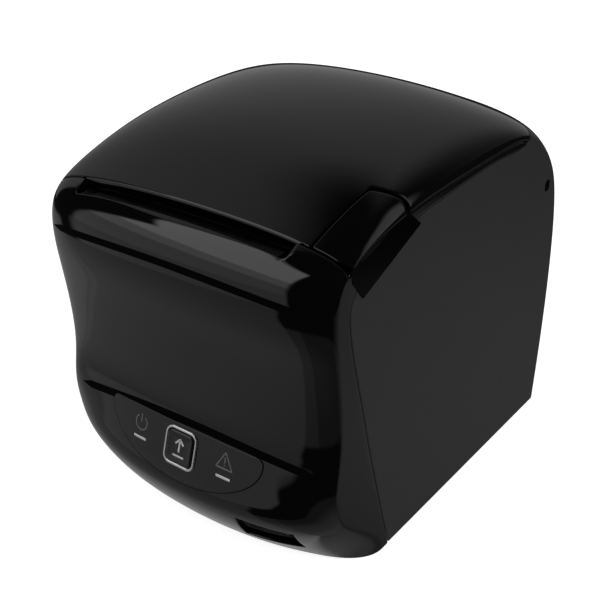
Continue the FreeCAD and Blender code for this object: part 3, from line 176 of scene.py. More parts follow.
# %% Outlines and landmarks
def steps_along(points):
    """Parameters for points: the roots of the distances between neighbours, added up."""
    steps = [0.0]
    for here, there in zip(points, points[1:]):
        steps.append(steps[-1] + math.sqrt(math.hypot(there[0] - here[0], there[1] - here[1])))
    return steps


STEPS = steps_along(STATIONS)
MIDDLE = Curve(STEPS, [s[:2] for s in STATIONS])
SIDE = Curve(STEPS, [s[2:] for s in STATIONS])
U_CHIN, U_NOSE, U_LIP, U_CROWN, U_HOOD, U_FOOT = (STEPS[i] for i in (2, 7, 9, 12, 14, -1))
print("middle line ends at parameter", round(U_FOOT, 2))

# %% [markdown]
# ## Slices
#
# The real case is barrelled: full in the middle, and falling away towards its flat flanks. A slice at
# any X is a blend of the two outlines, with the blend taken from a conic arc. An edge loop tool could
# draw such sections by hand, but a formula lets a seam be searched for along a slice, as find does by
# halving.

# %% Slices of the form
def lean(x):
    """How far a slice at x keeps to the middle line: 1 in the middle, 0 on the flank."""
    a = min(abs(x) / HALF_WIDTH, 1.0)
    root = math.sqrt(FULLNESS ** 2 * (1 - a) + a) - FULLNESS * math.sqrt(1 - a)
    return 1 - root * root


def on_form(x, u):
    """A point of the form in millimetres."""
    g = lean(x)
    (my, mz), (sy, sz) = MIDDLE.at(u), SIDE.at(u)
    return Vector((x, sy + (my - sy) * g, sz + (mz - sz) * g))


def column(x, us):
    """Points of one slice."""
    return [on_form(x, u) for u in us]


def find(x, test, low, high):
    """Where a test on the slice's point changes from true to false, going along the outline."""
    for _ in range(34):
        half = (low + high) / 2
        if test(on_form(x, half)):
            low = half
        else:
            high = half
    return (low + high) / 2


middle_top, flank_top = on_form(0, U_CROWN).z, on_form(HALF_WIDTH, U_CROWN).z
print("crown at", round(middle_top, 1), "mm, flank at", round(flank_top, 1), "mm")

# %% [markdown]
# ## Grids
#
# The outer mouldings are thin shells with smooth faces. Each skin starts as a flat grid of quads, whose
# points are then laid on slices of the form. Subdividing a coarse cage would also give smooth quads,
# but would pull the edges away from the seams. Here the grid ends exactly on them.

# %% Grids and objects
MERGE = 1e-6


def spread(low, high, count):
    """Evenly spaced numbers."""
    return [low + (high - low) * i / (count - 1) for i in range(count)]


def lay_grid(bm, columns):
    """A grid of quads with its points laid on columns of points, given in millimetres."""
    wide, tall = len(columns), len(columns[0])
    made = bmesh.ops.create_grid(bm, x_segments=wide - 1, y_segments=tall - 1, size=1.0)
    for i, vert in enumerate(made["verts"]):
        row, place = divmod(i, wide)
        vert.co = columns[place][row] * MM


def new_object(name, bm, smooth=True):
    """A mesh object from a bmesh, with its normals made consistent."""
    bmesh.ops.remove_doubles(bm, verts=bm.verts, dist=MERGE)
    bmesh.ops.recalc_face_normals(bm, faces=bm.faces)
    mesh = bpy.data.meshes.new(name)
    bm.to_mesh(mesh)
    bm.free()
    for face in mesh.polygons:
        face.use_smooth = smooth
    obj = bpy.data.objects.new(name, mesh)
    bpy.context.scene.collection.objects.link(obj)
    return obj


print("points closer than", MERGE, "m are merged")

# %% [markdown]
# ## The open edge of a skin
#
# A moulding has an outside and an edge, but a bare grid knows neither. The normals could be turned by
# hand in the editor. Here a skin looks outwards when its faces, weighed by their area, look away from
# the middle of the case, and the way out over an edge is square to the edge and to its face.

# %% Open edges
CASE_MIDDLE = Vector((0, 0, 0.07))


def facing(bm):
    """Settle the normals of an open skin and tell whether they point out (1) or in (-1)."""
    bmesh.ops.remove_doubles(bm, verts=bm.verts, dist=MERGE)
    bmesh.ops.recalc_face_normals(bm, faces=bm.faces)
    bm.normal_update()
    score = sum((f.calc_center_median() - CASE_MIDDLE).dot(f.normal) * f.calc_area() for f in bm.faces)
    return 1 if score > 0 else -1


def open_edges(bm):
    """The open edges of a skin, and for each of their points the way out over the edge."""
    edges, ways = [], {}
    for edge in bm.edges:
        if edge.is_boundary:
            face = edge.link_faces[0]
            way = (edge.verts[1].co - edge.verts[0].co).cross(face.normal)
            if way.dot(edge.verts[0].co - face.calc_center_median()) < 0:
                way.negate()
            for vert in edge.verts:
                ways[vert] = ways.get(vert, Vector()) + way
            edges.append(tuple(edge.verts))
    return edges, ways


print("outwards is away from a point", CASE_MIDDLE.z / MM, "mm up")

# %% [markdown]
# ## Rounded edges and walls
#
# Moulded edges are never sharp, and their small round is what catches the light along every joint. A
# bevel needs an edge between two faces, and a skin's edge is open. So the edge is carried on here:
# round in five short turns, then straight in as a wall, and back to an inner face behind the skin.

# %% Edges and walls
ROUND_TURNS = [math.radians(a) for a in (18, 36, 54, 72, 90)]


def shelled(bm, edge, wall):
    """Round the open edges of a skin over, and give it a wall and an inner face. Lengths in millimetres."""
    sign = facing(bm)
    edges, ways = open_edges(bm)
    normals = {vert: vert.normal * sign for vert in bm.verts}
    inside = {vert: bm.verts.new(vert.co - normal * wall * MM) for vert, normal in normals.items()}
    skins = [tuple(face.verts) for face in bm.faces]
    rows = {}
    for vert, way in ways.items():
        normal = normals[vert]
        way = (way - normal * way.dot(normal)).normalized()
        spots = []
        for a in ROUND_TURNS:
            spots.append(vert.co + (way * math.sin(a) - normal * (1 - math.cos(a))) * edge * MM)
        spots.append(vert.co + way * edge * MM - normal * wall * MM)
        rows[vert] = [vert] + [bm.verts.new(spot) for spot in spots] + [inside[vert]]
    for first, second in edges:
        for a, b, c, d in zip(rows[first], rows[second], rows[second][1:], rows[first][1:]):
            bm.faces.new((a, b, c, d))
    for corners in skins:
        bm.faces.new([inside[vert] for vert in reversed(corners)])


print("edges turn in", len(ROUND_TURNS), "steps")

# %% [markdown]
# ## Seam of the paper mouth
#
# The paper comes out between the front shell and the cover, through a mouth with rounded ends. The line
# could be cut into one finished skin, but cuts leave slivers along a curved line. As a limit along each
# slice it becomes the edge of the grid itself. Beside the mouth the two mouldings meet at a fine gap.

# %% Mouth seam
GAP, EDGE = 0.4, 0.4
LIP_Y = -71.5
MOUTH_OPEN, MOUTH_ROUND = 6.0, 2.5
MOUTH_LEFT, MOUTH_RIGHT = -50.5, 45.0


def at_y(x, y):
    """Where a slice passes a given y on its way up and over the front."""
    return find(x, lambda p: p.y < y, U_NOSE, U_CROWN)


def mouth_rim(x):
    """Front edge of the paper mouth, with rounded ends, or the lip line beside it."""
    if not MOUTH_LEFT < x < MOUTH_RIGHT:
        return at_y(x, LIP_Y - GAP / 2 - EDGE)
    inset = min(x - MOUTH_LEFT, MOUTH_RIGHT - x)
    depth = MOUTH_OPEN
    if inset < MOUTH_ROUND:
        depth -= MOUTH_ROUND - math.sqrt(MOUTH_ROUND ** 2 - (MOUTH_ROUND - inset) ** 2)
    return at_y(x, LIP_Y - depth - EDGE)


print("paper mouth", MOUTH_RIGHT - MOUTH_LEFT, "mm wide")

# %% [markdown]
# ## Seam of the lever
#
# The lever fills the cover's front right corner. Its inner side is slanted, its rear side runs a little
# backwards, and a round corner joins them. A bevel would round the corner after the cut. Here the two
# straight lines are blended where they come close, so that the lever and the hole for it share one
# formula and differ by the gap.

# %% Lever seam
LEVER_INNER, LEVER_TAPER, LEVER_SOFT = 49.8, 3.5, 2.2
LEVER_BEND, LEVER_REAR = LIP_Y + 26.5, LIP_Y + 33.6
LEVER_GAP, LEVER_REAR_GAP = 0.5, 0.9


def lever_rear(x, inner, bend, rear):
    """The lever's far edge: its slanted inner side, a rounded corner and its rear side."""
    side = LIP_Y + (x - inner) / LEVER_TAPER * (bend - LIP_Y)
    back = bend + (x - inner - LEVER_TAPER) / (HALF_WIDTH - inner - LEVER_TAPER) * (rear - bend)
    blend = max(LEVER_SOFT - abs(side - back), 0.0) / LEVER_SOFT
    return min(side, back) - blend * blend * LEVER_SOFT / 4


def cover_front(x):
    """Front edge of the cover: the lip, or the line round the lever."""
    inner = LEVER_INNER - LEVER_GAP - EDGE
    lip = LIP_Y + GAP / 2 + EDGE
    if x <= inner:
        return at_y(x, lip)
    behind = LEVER_REAR_GAP + EDGE
    return at_y(x, max(lip, lever_rear(x, inner, LEVER_BEND + behind, LEVER_REAR + behind)))


print("lever", round(LEVER_REAR - LIP_Y, 1), "mm deep and", round(HALF_WIDTH - LEVER_INNER, 1), "mm wide")

# %% [markdown]
# ## Seams of the rear
#
# A cover that swings on a hinge clears the case along an arc about the hinge's axis. So its rear seam
# is where a slice enters a circle about that axis. In the middle a tongue carries the cover further
# down the back, and ends on a level line. Straight cuts would be simpler, but the cover would bind on
# them.

# %% Rear seams
HINGE_Y, HINGE_Z = 66.0, 129.0
REAR_Y, REAR_Z = 50.5, 135.7
HINGE_RADIUS = math.hypot(REAR_Y - HINGE_Y, REAR_Z - HINGE_Z)
TONGUE, TONGUE_Z = 46.0, 121.0


def hinge_arc(x, grow):
    """Where a slice enters the circle about the hinge axis."""
    far = HINGE_RADIUS + grow
    return find(x, lambda p: math.hypot(p.y - HINGE_Y, p.z - HINGE_Z) > far, U_CROWN, U_HOOD)


def tongue_end(x, grow):
    """Where a slice comes down to the tongue's lower edge."""
    return find(x, lambda p: p.z > TONGUE_Z + grow, U_HOOD, STEPS[16])


print("hinge arc radius", round(HINGE_RADIUS, 2), "mm")

# %% [markdown]
# ## Where the columns and rows stand
#
# Light shows a crease wherever neighbouring columns of a grid have rows at different places. So the
# rows are fixed along the outline, and a column that starts later or ends earlier has its spare rows
# drawn to its own end. Columns stand close together at the flanks, where the form turns over.

# %% Columns and rows
FLANK_COLUMNS, FLANK_BAND = 14, 2.0


def from_start(start, fixed):
    """Fixed rows of a column, those before its own start drawn up to it."""
    near = start + 0.5 * (fixed[1] - fixed[0])
    return [u if u > near else start for u in fixed]


def up_to(end, fixed):
    """Fixed rows of a column, those past its own end drawn back to it."""
    near = end - 0.5 * (fixed[1] - fixed[0])
    return [u if u < near else end for u in fixed]


def across(*stops):
    """X positions through several stops, each given as (x, how many from the one before)."""
    xs = [stops[0][0]]
    for (before, _), (x, count) in zip(stops, stops[1:]):
        xs += spread(before, x, count + 1)[1:]
    return xs


def flank_xs():
    """Close X positions from the flank inwards."""
    return [HALF_WIDTH - FLANK_BAND * (k / FLANK_COLUMNS) ** 2 for k in range(FLANK_COLUMNS)]


def to_flanks(xs):
    """X positions with the close ones of both flanks at their ends."""
    return [-x for x in flank_xs()] + xs + flank_xs()[::-1]


print("the last", FLANK_BAND, "mm of each side take", FLANK_COLUMNS, "columns")

# %% [markdown]
# ## Front shell
#
# The front sweeps from the underside out over the chin, in at the waist, out to the nose and back to
# the lip. The mouth is a notch in its upper edge, made by where the columns end. The switch recess and
# the hole behind the button could be cut with a boolean, but rows and columns that pass along their
# edges let whole faces be left out, and the rims stay clean.

# %% Front shell bulge
RECESS_X, RECESS_Z, RECESS_MIDDLE = (26.6, 49.2), (12.6, 24.2), 38.0
BUTTON_Z = 41.7
BUTTON_HOLE_X, BUTTON_HOLE_Z = 8.4, 7.9
front_xs = to_flanks(across((-62, 0), (-52, 12), (MOUTH_LEFT, 4), (-47.8, 8), (0, 34), (RECESS_X[0], 18),
                            (42.3, 12), (MOUTH_RIGHT, 8), (RECESS_X[1], 5), (53, 4), (62, 10)))
U_RECESS = [find(RECESS_MIDDLE, lambda p, z=z: p.z < z, 0.0, STEPS[3]) for z in RECESS_Z]
low_rows = spread(0, U_RECESS[0], 14) + spread(U_RECESS[0], U_RECESS[1], 14)[1:]
low_rows += spread(U_RECESS[1], U_CHIN, 12)[1:]
high_rows = spread(U_CHIN, U_LIP + 0.2, 110)[1:]


def cut_out(bm, inside):
    """Delete the faces whose middle, in millimetres, passes a test."""
    faces = [face for face in bm.faces if inside(face.calc_center_median() / MM)]
    bmesh.ops.delete(bm, geom=faces, context="FACES")
    return len(faces)


def in_front_opening(spot):
    """Whether a spot of the front lies in the switch recess or behind the button."""
    low, high = (on_form(spot.x, u).z for u in U_RECESS)
    in_recess = RECESS_X[0] < spot.x < RECESS_X[1] and low < spot.z < high
    return in_recess or (abs(spot.x) < BUTTON_HOLE_X and abs(spot.z - BUTTON_Z) < BUTTON_HOLE_Z)


bm = bmesh.new()
lay_grid(bm, [column(x, low_rows + up_to(mouth_rim(x), high_rows)) for x in front_xs])
print("front columns:", len(front_xs), "and faces left open:", cut_out(bm, in_front_opening))

# %% [markdown]
# ## Strips of the front shell on the flanks
#
# On each flank a narrow gloss strip runs from the front down an S shaped seam, and back under the
# cover's edge. It belongs to the front shell, so it is joined to the same grid before the walls are
# made. A separate strip would show a line on the corner of the front. The seam is drawn as a few points
# (y, z) with a smooth curve through them.

# %% Front shell strips
SEAM = [
    (-40.5, 0.5), (-56.1, 52.2), (-63.2, 78.1), (-68.5, 98.0), (-70.4, 108.6), (-70.1, 115.2),
    (-65.0, 121.3), (-51.0, 128.4), (-29.9, 132.5), (3.0, 134.7), (25.7, 135.2), (43.0, 134.2),
    (50.9, 135.3),
]
seam_steps = steps_along(SEAM)
SEAM_CURVE = Curve(seam_steps, SEAM)
SEAM_TOP, SEAM_END = seam_steps[5], seam_steps[-1]
UNDER_COVER = GAP + 2 * EDGE
STRIP_LEAST, FRONT_WALL = 0.8, 1.6


def flat_line(side, start, end, shares):
    """Points of a flank along a straight line, at given shares of its length."""
    (y, z), (to_y, to_z) = start, end
    return [Vector((side, y + (to_y - y) * r, z + (to_z - z) * r)) for r in shares]


edge_us = sorted(set(low_rows + up_to(mouth_rim(HALF_WIDTH), high_rows)))
behind_us = spread(edge_us[-1], STEPS[13], 60)[1:]
parts = spread(0, SEAM_TOP, len(edge_us)) + spread(SEAM_TOP, SEAM_END, len(behind_us) + 1)[1:]
drops = [0.0] * len(edge_us) + [UNDER_COVER] * len(behind_us)
for side in (-HALF_WIDTH, HALF_WIDTH):
    columns = []
    for u, part, drop in zip(edge_us + behind_us, parts, drops):
        (y, z), seam = SIDE.at(u), SEAM_CURVE.at(part)
        if z - drop - seam[1] < STRIP_LEAST and y > 0:
            break
        columns.append(flat_line(side, (y, z - drop), seam, spread(0, 1, 9)))
    lay_grid(bm, columns)
shelled(bm, EDGE, FRONT_WALL)
front_shell = new_object("front_shell_skin", bm)
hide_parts("front_shell")
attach(front_shell, "case")
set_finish(front_shell, "gloss_front")
print("front shell faces:", len(front_shell.data.polygons))

# %% [markdown]
# ## Top cover
#
# The cover is the crown of the same form. Its rounded front edge hangs over the paper mouth, and is the
# bright line in the picture. A bevel on the whole front edge would round it beside the mouth too, where
# the cover lies flush. So each column gets its own lip, a short face under a round, that fades out at
# the ends of the mouth.

# %% Lip of the cover
LIP_ROUND, LIP_FACE, LIP_TURNS, LIP_FACE_ROWS = 1.1, 3.0, 6, 4
LIP_LEFT, LIP_RIGHT, LIP_FADE = MOUTH_LEFT - 0.6, MOUTH_RIGHT + 1.6, 1.2


def lip_rows(x, first, second):
    """Rows from the foot of the lip up to the crown's first row: a short face under a rounded edge."""
    share = min(max(min(x - LIP_LEFT, LIP_RIGHT - x) / LIP_FADE, 0.0), 1.0)
    fall = math.atan2(second.z - first.z, second.y - first.y)
    rows, spot = [], first.copy()
    turn = (math.pi / 2 - fall) / LIP_TURNS
    for k in range(LIP_TURNS):
        a = fall + turn * (k + 0.5)
        spot = spot - Vector((0, math.cos(a), math.sin(a))) * LIP_ROUND * turn
        rows.append(spot)
    rows += [spot - Vector((0, 0, LIP_FACE * k / LIP_FACE_ROWS)) for k in range(1, LIP_FACE_ROWS + 1)]
    return [first + (row - first) * share for row in reversed(rows)]


print("lip rows:", LIP_TURNS + LIP_FACE_ROWS)

# %% [markdown]
# ## Skin of the cover
#
# The real cover is one thin moulding from the lip to the end of its tongue. The crown and the tongue
# are two grids that share the columns between the rear shoulders, and their common row is merged. One
# grid could not have the step where the tongue leaves the crown.

# %% Top cover
TONGUE_X = TONGUE - GAP - EDGE
COVER_WALL = 2.4
NEAR_ROWS = 8
CLEAR_ARC = GAP + EDGE
cover_xs = to_flanks(across((-62, 0), (-52, 12), (LIP_LEFT, 3), (LIP_LEFT + LIP_FADE, 6),
                            (-TONGUE_X, 8), (0, 34), (TONGUE_X, 34), (LIP_RIGHT, 8), (48.7, 4),
                            (52.6, 24), (55, 8), (62, 10)))
lip_end = U_LIP + 0.5
crown_rows = spread(lip_end, U_CROWN, 80)
bm = bmesh.new()
columns = []
for x in cover_xs:
    start, end = cover_front(x), hinge_arc(x, CLEAR_ARC)
    rows = spread(start, max(start, lip_end), NEAR_ROWS + 1)[:-1]
    rows += from_start(start, crown_rows) + spread(U_CROWN, end, 40)[1:]
    crown = column(x, rows)
    columns.append(lip_rows(x, crown[0], on_form(x, start + 0.1)) + crown)
lay_grid(bm, columns)
tongue_xs = [x for x in cover_xs if abs(x) < TONGUE_X + 0.01]
lay_grid(bm, [column(x, spread(hinge_arc(x, CLEAR_ARC), tongue_end(x, EDGE), 36)) for x in tongue_xs])
shelled(bm, EDGE, COVER_WALL)
top_cover = new_object("top_cover_skin", bm)
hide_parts("top_cover")
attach(top_cover, "cover")
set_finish(top_cover, "gloss_front")
print("top cover faces:", len(top_cover.data.polygons))

# %% [markdown]
# ## Cover lever
#
# The lever continues the cover's surface on the right shoulder, and opens it. It could be split from
# the cover's mesh, but the two edges would then have no gap and no round. As a grid of its own between
# the same limits, drawn in by the gap, it stays flush and has its own edge.

# %% Cover lever
LEVER_FRONT = LIP_Y + LEVER_GAP + EDGE
LEVER_WALL = 2.0
lever_rows = spread(U_LIP - 0.6, STEPS[10] + 1.8, 60)
lever_xs = across((50.45, 0), (53.8, 24), (56, 8), (62, 12)) + flank_xs()[::-1]
bm = bmesh.new()
columns = []
for x in lever_xs:
    far = lever_rear(x, LEVER_INNER + EDGE, LEVER_BEND - EDGE, LEVER_REAR - EDGE)
    start, end = at_y(x, LEVER_FRONT), at_y(x, max(LEVER_FRONT + 0.1, far))
    columns.append(column(x, up_to(end, from_start(start, lever_rows))))
lay_grid(bm, columns)
shelled(bm, EDGE, LEVER_WALL)
cover_lever = new_object("cover_lever_skin", bm)
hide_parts("cover_lever")
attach(cover_lever, "lever")
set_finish(cover_lever, "gloss_front")
print("lever faces:", len(cover_lever.data.polygons))

# %% [markdown]
# ## Lever skirt
#
# The lever's side carries a thin pointed skirt, which stands a little proud of the flank so that a
# finger can lift it. It is a flat plate, so one face is drawn and extruded. Its outer face then leans
# out towards the foot, and a bevel modifier rounds the edges, which a hand made round would not do as
# evenly at the sharp corners.

# %% Lever skirt
SKIRT_FRONT, SKIRT_LIFT = -70.4, 0.4
SKIRT_LOW = [(-30.2, 129.4), (-63.7, 115.6), (-69.6, 123.1)]
SKIRT_BACK_X, SKIRT_TOP_X, SKIRT_LEAN, SKIRT_DROP = 63.3, 63.95, 0.65, 7.0


def crest(y):
    """Height of the flank's upper edge."""
    return SIDE.at(at_y(HALF_WIDTH, y))[1]


rim = [(y, crest(y) + SKIRT_LIFT) for y in spread(SKIRT_FRONT, LEVER_REAR, 25)]
bm = bmesh.new()
plate = bm.faces.new([bm.verts.new(Vector((SKIRT_BACK_X, y, z)) * MM) for y, z in rim + SKIRT_LOW])
pushed = bmesh.ops.extrude_face_region(bm, geom=[plate])
for vert in [v for v in pushed["geom"] if isinstance(v, bmesh.types.BMVert)]:
    below = (crest(vert.co.y / MM) - vert.co.z / MM) / SKIRT_DROP
    vert.co.x = (SKIRT_TOP_X + SKIRT_LEAN * min(max(below, 0.0), 1.0)) * MM
lever_skirt = new_object("lever_skirt", bm, smooth=False)
rounding = lever_skirt.modifiers.new("edge", "BEVEL")
rounding.width = EDGE * MM
rounding.segments = 3
rounding.limit_method = "ANGLE"
rounding.angle_limit = math.radians(40)
rounding.harden_normals = True
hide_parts("cover_lever")
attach(lever_skirt, "lever")
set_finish(lever_skirt, "gloss_front")
print("skirt stands out to", SKIRT_TOP_X + SKIRT_LEAN, "mm")

# %% [markdown]
# ## Case, the back
#
# The case is the satin part: two flat flanks behind the seam, and the back, which bulges slightly. The
# back has a notch for the cover's tongue and a bay for the sockets. Booleans could cut both. Here the
# two shoulders and the middle are three grids with common rows, the notch is where the middle starts
# lower, and the bay is left open.

# %% Case back
BAY_X, BAY_Z = (-32.25, 26.75), (4.0, 24.0)
NOTCH_X = TONGUE + GAP


def down_to(x, z):
    """Where a slice of the back passes a height on its way down."""
    return find(x, lambda p: p.z > z, U_HOOD, U_FOOT)


def low_stops(x):
    """Stops down the back from the top of the bay to the foot."""
    top, foot = (down_to(x, z) for z in reversed(BAY_Z))
    return spread(top, foot, 12)[:-1] + spread(foot, U_FOOT, 4)


def shoulder_stops(x):
    """Stops down a shoulder, from the hinge arc past the tongue's lower edge and the bay to the foot."""
    tongue = down_to(x, TONGUE_Z - GAP - EDGE)
    high = spread(hinge_arc(x, -EDGE), tongue, 20)[:-1] + spread(tongue, down_to(x, BAY_Z[1]), 40)[:-1]
    return high + low_stops(x)


def middle_stops(x):
    """Stops down the middle of the back, from the gap under the tongue."""
    return spread(tongue_end(x, -GAP - EDGE), down_to(x, BAY_Z[1]), 40)[:-1] + low_stops(x)


def in_bay(spot):
    """Whether a spot lies in the socket bay."""
    return BAY_X[0] < spot.x < BAY_X[1] and BAY_Z[0] < spot.z < BAY_Z[1]


bm = bmesh.new()
left_xs = [-x for x in flank_xs()] + across((-62, 0), (-NOTCH_X, 14))
for xs in (left_xs, [-x for x in reversed(left_xs)]):
    lay_grid(bm, [column(x, shoulder_stops(x)) for x in xs])
middle_xs = across((-NOTCH_X, 0), (BAY_X[0], 8), (BAY_X[1], 30), (NOTCH_X, 10))
lay_grid(bm, [column(x, middle_stops(x)) for x in middle_xs])
print("back faces left open for the bay:", cut_out(bm, in_bay))

# %% [markdown]
# ## Case, the flanks
#
# Each flank is a flat sheet between the seam and the back. One large face would be enough for its
# shape, but it has to share its rear points with the back's grid, or a crack would show at the corner.
# So it is a grid too, with the same stops along its rear edge, and close points near both edges to hold
# them straight.

# %% Case flanks
CASE_WALL = 1.8
CORNER_IN, CORNER_DOWN, TAIL_ROWS = 0.45, 0.3, 4
SEAM_STEP = 0.05
FLANK_SHARES = [0.0, 0.004, 0.01] + spread(0.03, 0.97, 26) + [0.99, 0.996, 1.0]


def beside_seam(part):
    """A point square to the seam, on the case's side of the gap."""
    before, here = SEAM_CURVE.at(max(part - SEAM_STEP, 0.0)), SEAM_CURVE.at(part)
    after = SEAM_CURVE.at(min(part + SEAM_STEP, SEAM_END))
    rise, run = after[1] - before[1], after[0] - before[0]
    far = UNDER_COVER / math.hypot(rise, run)
    return here[0] + rise * far, here[1] - run * far


for side in (-HALF_WIDTH, HALF_WIDTH):
    stops = shoulder_stops(side)[::-1]
    last = len(stops) - 1
    top_y, top_z = SIDE.at(stops[last])
    columns = []
    for i, u in enumerate(stops):
        y, z = beside_seam(SEAM_END * min(i, last - TAIL_ROWS) / last)
        tail = max(i - last + TAIL_ROWS, 0) / TAIL_ROWS
        y += (top_y - CORNER_IN - y) * tail
        z += (top_z - CORNER_DOWN - z) * tail
        columns.append(flat_line(side, (y, max(z, STATIONS[0][3])), SIDE.at(u), FLANK_SHARES))
    lay_grid(bm, columns)
shelled(bm, EDGE, CASE_WALL)
main_case = new_object("main_case_skin", bm)
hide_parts("main_case")
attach(main_case, "case")
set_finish(main_case, "satin_case")
print("case faces:", len(main_case.data.polygons))

# %% [markdown]
# ## Side slot
#
# A small dark slot sits high on the right flank, near the back. It could be cut through the case, but only
# its black outline is ever seen. So it is one flat face with round ends, a hair above the flank, painted
# near black as the shade inside the slot.

# %% Side slot
SLOT_X, SLOT_Y, SLOT_Z = 64.03, 72.1, 110.1
SLOT_HALF, SLOT_STRAIGHT, SLOT_ROUND, SLOT_POINTS = 2.1, 1.1, 1.4, 32
# This face is painted near black later: painted shade inside the slot.
bm = bmesh.new()
ring = []
for i in range(SLOT_POINTS):
    turn = 2 * math.pi * i / SLOT_POINTS
    y = SLOT_Y + SLOT_HALF * math.cos(turn)
    z = SLOT_Z + math.copysign(SLOT_STRAIGHT, math.sin(turn)) + SLOT_ROUND * math.sin(turn)
    ring.append(bm.verts.new(Vector((SLOT_X, y, z)) * MM))
bm.faces.new(ring)
side_slot = new_object("side_slot", bm, smooth=False)
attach(side_slot, "case")
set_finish(side_slot, "inner_black")
print("side slot at y", SLOT_Y, "and z", SLOT_Z)

# %% [markdown]
# ## Painted reflection lines of the front
#
# In the picture two fine dark bands, mirrored in the gloss, bound the flat face of the front: one under the
# nose and one over the panel. Dark panels in the studio could give them, but would darken other pieces too.
# Instead a narrow near black strip just above the form is painted reflection, and keeps each band in its
# place. Its height changes a little with x, and it tapers out at its ends.

# %% Painted reflection lines
LINE_TAPER, LINE_LIFT = 6.0, 0.05
NOSE_Z, NOSE_FALL = 117.9, 0.0011
SHELF_PEAK, SHELF_Z, SHELF_LEFT_FALL, SHELF_RIGHT_FALL = 10.0, 52.3, 0.0013, 0.0006


def outwards(mesh):
    """Turn a thin piece's normals away from the middle of the case."""
    if sum((f.center - CASE_MIDDLE).dot(f.normal) * f.area for f in mesh.polygons) < 0:
        mesh.flip_normals()


def nose_line(x):
    """Height of the line under the nose."""
    return NOSE_Z - NOSE_FALL * x * x


def shelf_line(x):
    """Height of the line over the panel, which falls faster on the left of its peak."""
    aside = x - SHELF_PEAK
    return SHELF_Z - SHELF_LEFT_FALL * min(aside, 0.0) ** 2 - SHELF_RIGHT_FALL * max(aside, 0.0) ** 2


# Each strip is painted near black later: a painted reflection of a dark band in the gloss.
bm = bmesh.new()
for line, left, right, width in ((nose_line, -60.0, 55.0, 2.5), (shelf_line, -57.0, 58.5, 3.1)):
    columns = []
    for x in spread(left, right, 160):
        half = width / 2 * min((x - left) / LINE_TAPER, (right - x) / LINE_TAPER, 1.0)
        levels = spread(line(x) - half, line(x) + half, 7)
        us = [find(x, lambda p, z=z: p.z < z, U_CHIN, U_LIP) for z in levels]
        columns.append([spot - Vector((0, LINE_LIFT, 0)) for spot in column(x, us)])
    lay_grid(bm, columns)
painted_reflection_lines = new_object("painted_reflection_lines", bm)
outwards(painted_reflection_lines.data)
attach(painted_reflection_lines, "case")
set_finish(painted_reflection_lines, "inner_black")
print("shadow line faces:", len(painted_reflection_lines.data.polygons))

# %% [markdown]
# ## Frame of the panel
#
# The panel is tilted back and bowed with the front, but its signs are laid out flat, as on a drawing. A
# shrinkwrap modifier could press a flat plate onto the front shell, but would depend on another piece.
# So a spot is given in the panel's own flat frame, across and up, and is carried onto the curved front
# by a search along its slice.

# %% Panel frame
TILT = math.radians(16.5)
PANEL = Vector((0, -83.0, BUTTON_Z))
PANEL_UP = Vector((0, math.sin(TILT), math.cos(TILT)))
PANEL_OUT = Vector((0, -math.cos(TILT), math.sin(TILT)))


def on_panel(x, y, lift):
    """A spot on the curved front, from its place in the panel's flat frame."""
    u = find(x, lambda p: (p - PANEL).dot(PANEL_UP) < y, STEPS[1], STEPS[6])
    return on_form(x, u) + PANEL_OUT * lift


print("panel middle stands", round((on_panel(0, 0, 0) - PANEL).dot(PANEL_OUT), 2), "mm off its frame")

# %% [markdown]
# ## Control panel
#
# The panel is a thin D shaped plate that follows the front, with a window for the button. A flat D
# could be cut out with a knife and bent. Here the columns of a grid end on the D's arc and its round
# upper corners, so its edge is smooth, and the window is left open.

# %% Panel plate
PANEL_HALF, PANEL_TOP, PANEL_DROP, PANEL_CORNER = 36.2, 8.8, 21.7, 2.0
PANEL_LIFT, PANEL_EDGE, PANEL_WALL = 0.2, 0.2, 0.6
PANEL_SPRING, PANEL_BOW = PANEL_TOP - PANEL_CORNER, PANEL_DROP - PANEL_CORNER
PANEL_ROWS_LOW, PANEL_ROWS_HIGH = -13.0, 8.9
WINDOW, WINDOW_CORNER = 7.0, 2.8
SIDE_COLUMNS, WINDOW_COLUMNS = 50, 24


def in_window(spot):
    """Whether a spot of the panel lies in the button's window, a square with round corners."""
    x, y = abs(spot.x), abs((spot - PANEL).dot(PANEL_UP))
    straight_half = WINDOW - WINDOW_CORNER
    corner = math.hypot(max(x - straight_half, 0), max(y - straight_half, 0))
    return max(x, y) < WINDOW and corner < WINDOW_CORNER


turns = spread(0, math.pi / 2, SIDE_COLUMNS + 1)[1:]
side_xs = [WINDOW + (PANEL_HALF - WINDOW) * math.sin(turn) for turn in turns]
window_stops = spread(-WINDOW, WINDOW, WINDOW_COLUMNS)
panel_xs = [-x for x in reversed(side_xs)] + window_stops + side_xs
panel_ys = spread(PANEL_ROWS_LOW, -WINDOW, 10)[:-1] + window_stops + spread(WINDOW, PANEL_ROWS_HIGH, 5)[1:]
bm = bmesh.new()
columns = []
for x in panel_xs:
    low = PANEL_SPRING - PANEL_BOW * math.sqrt(max(1 - (x / PANEL_HALF) ** 2, 0.0))
    past = max(abs(x) - PANEL_HALF + PANEL_CORNER, 0.0)
    high = PANEL_SPRING + math.sqrt(max(PANEL_CORNER ** 2 - past ** 2, 0.0))
    columns.append([on_panel(x, y, PANEL_LIFT) for y in up_to(high, from_start(low, panel_ys))])
lay_grid(bm, columns)
window_faces = cut_out(bm, in_window)
shelled(bm, PANEL_EDGE, PANEL_WALL)
panel = new_object("panel_plate", bm)
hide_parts("control_panel")
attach(panel, "case")
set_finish(panel, "gloss_panel")
print("panel faces:", len(panel.data.polygons), "with", window_faces, "left open for the button")

# %% [markdown]
# ## Marks and the panel's groove
#
# The marks are printed on the panel: a power sign, a warning triangle and a plain bar under each. A
# picture texture would blur close up. Ribbons of even width, laid along lines in the panel's frame,
# stay sharp, and a solidify modifier gives them a hair of thickness. The fine groove round the panel is
# a ribbon too.

# %% Ribbons
INK = 0.06


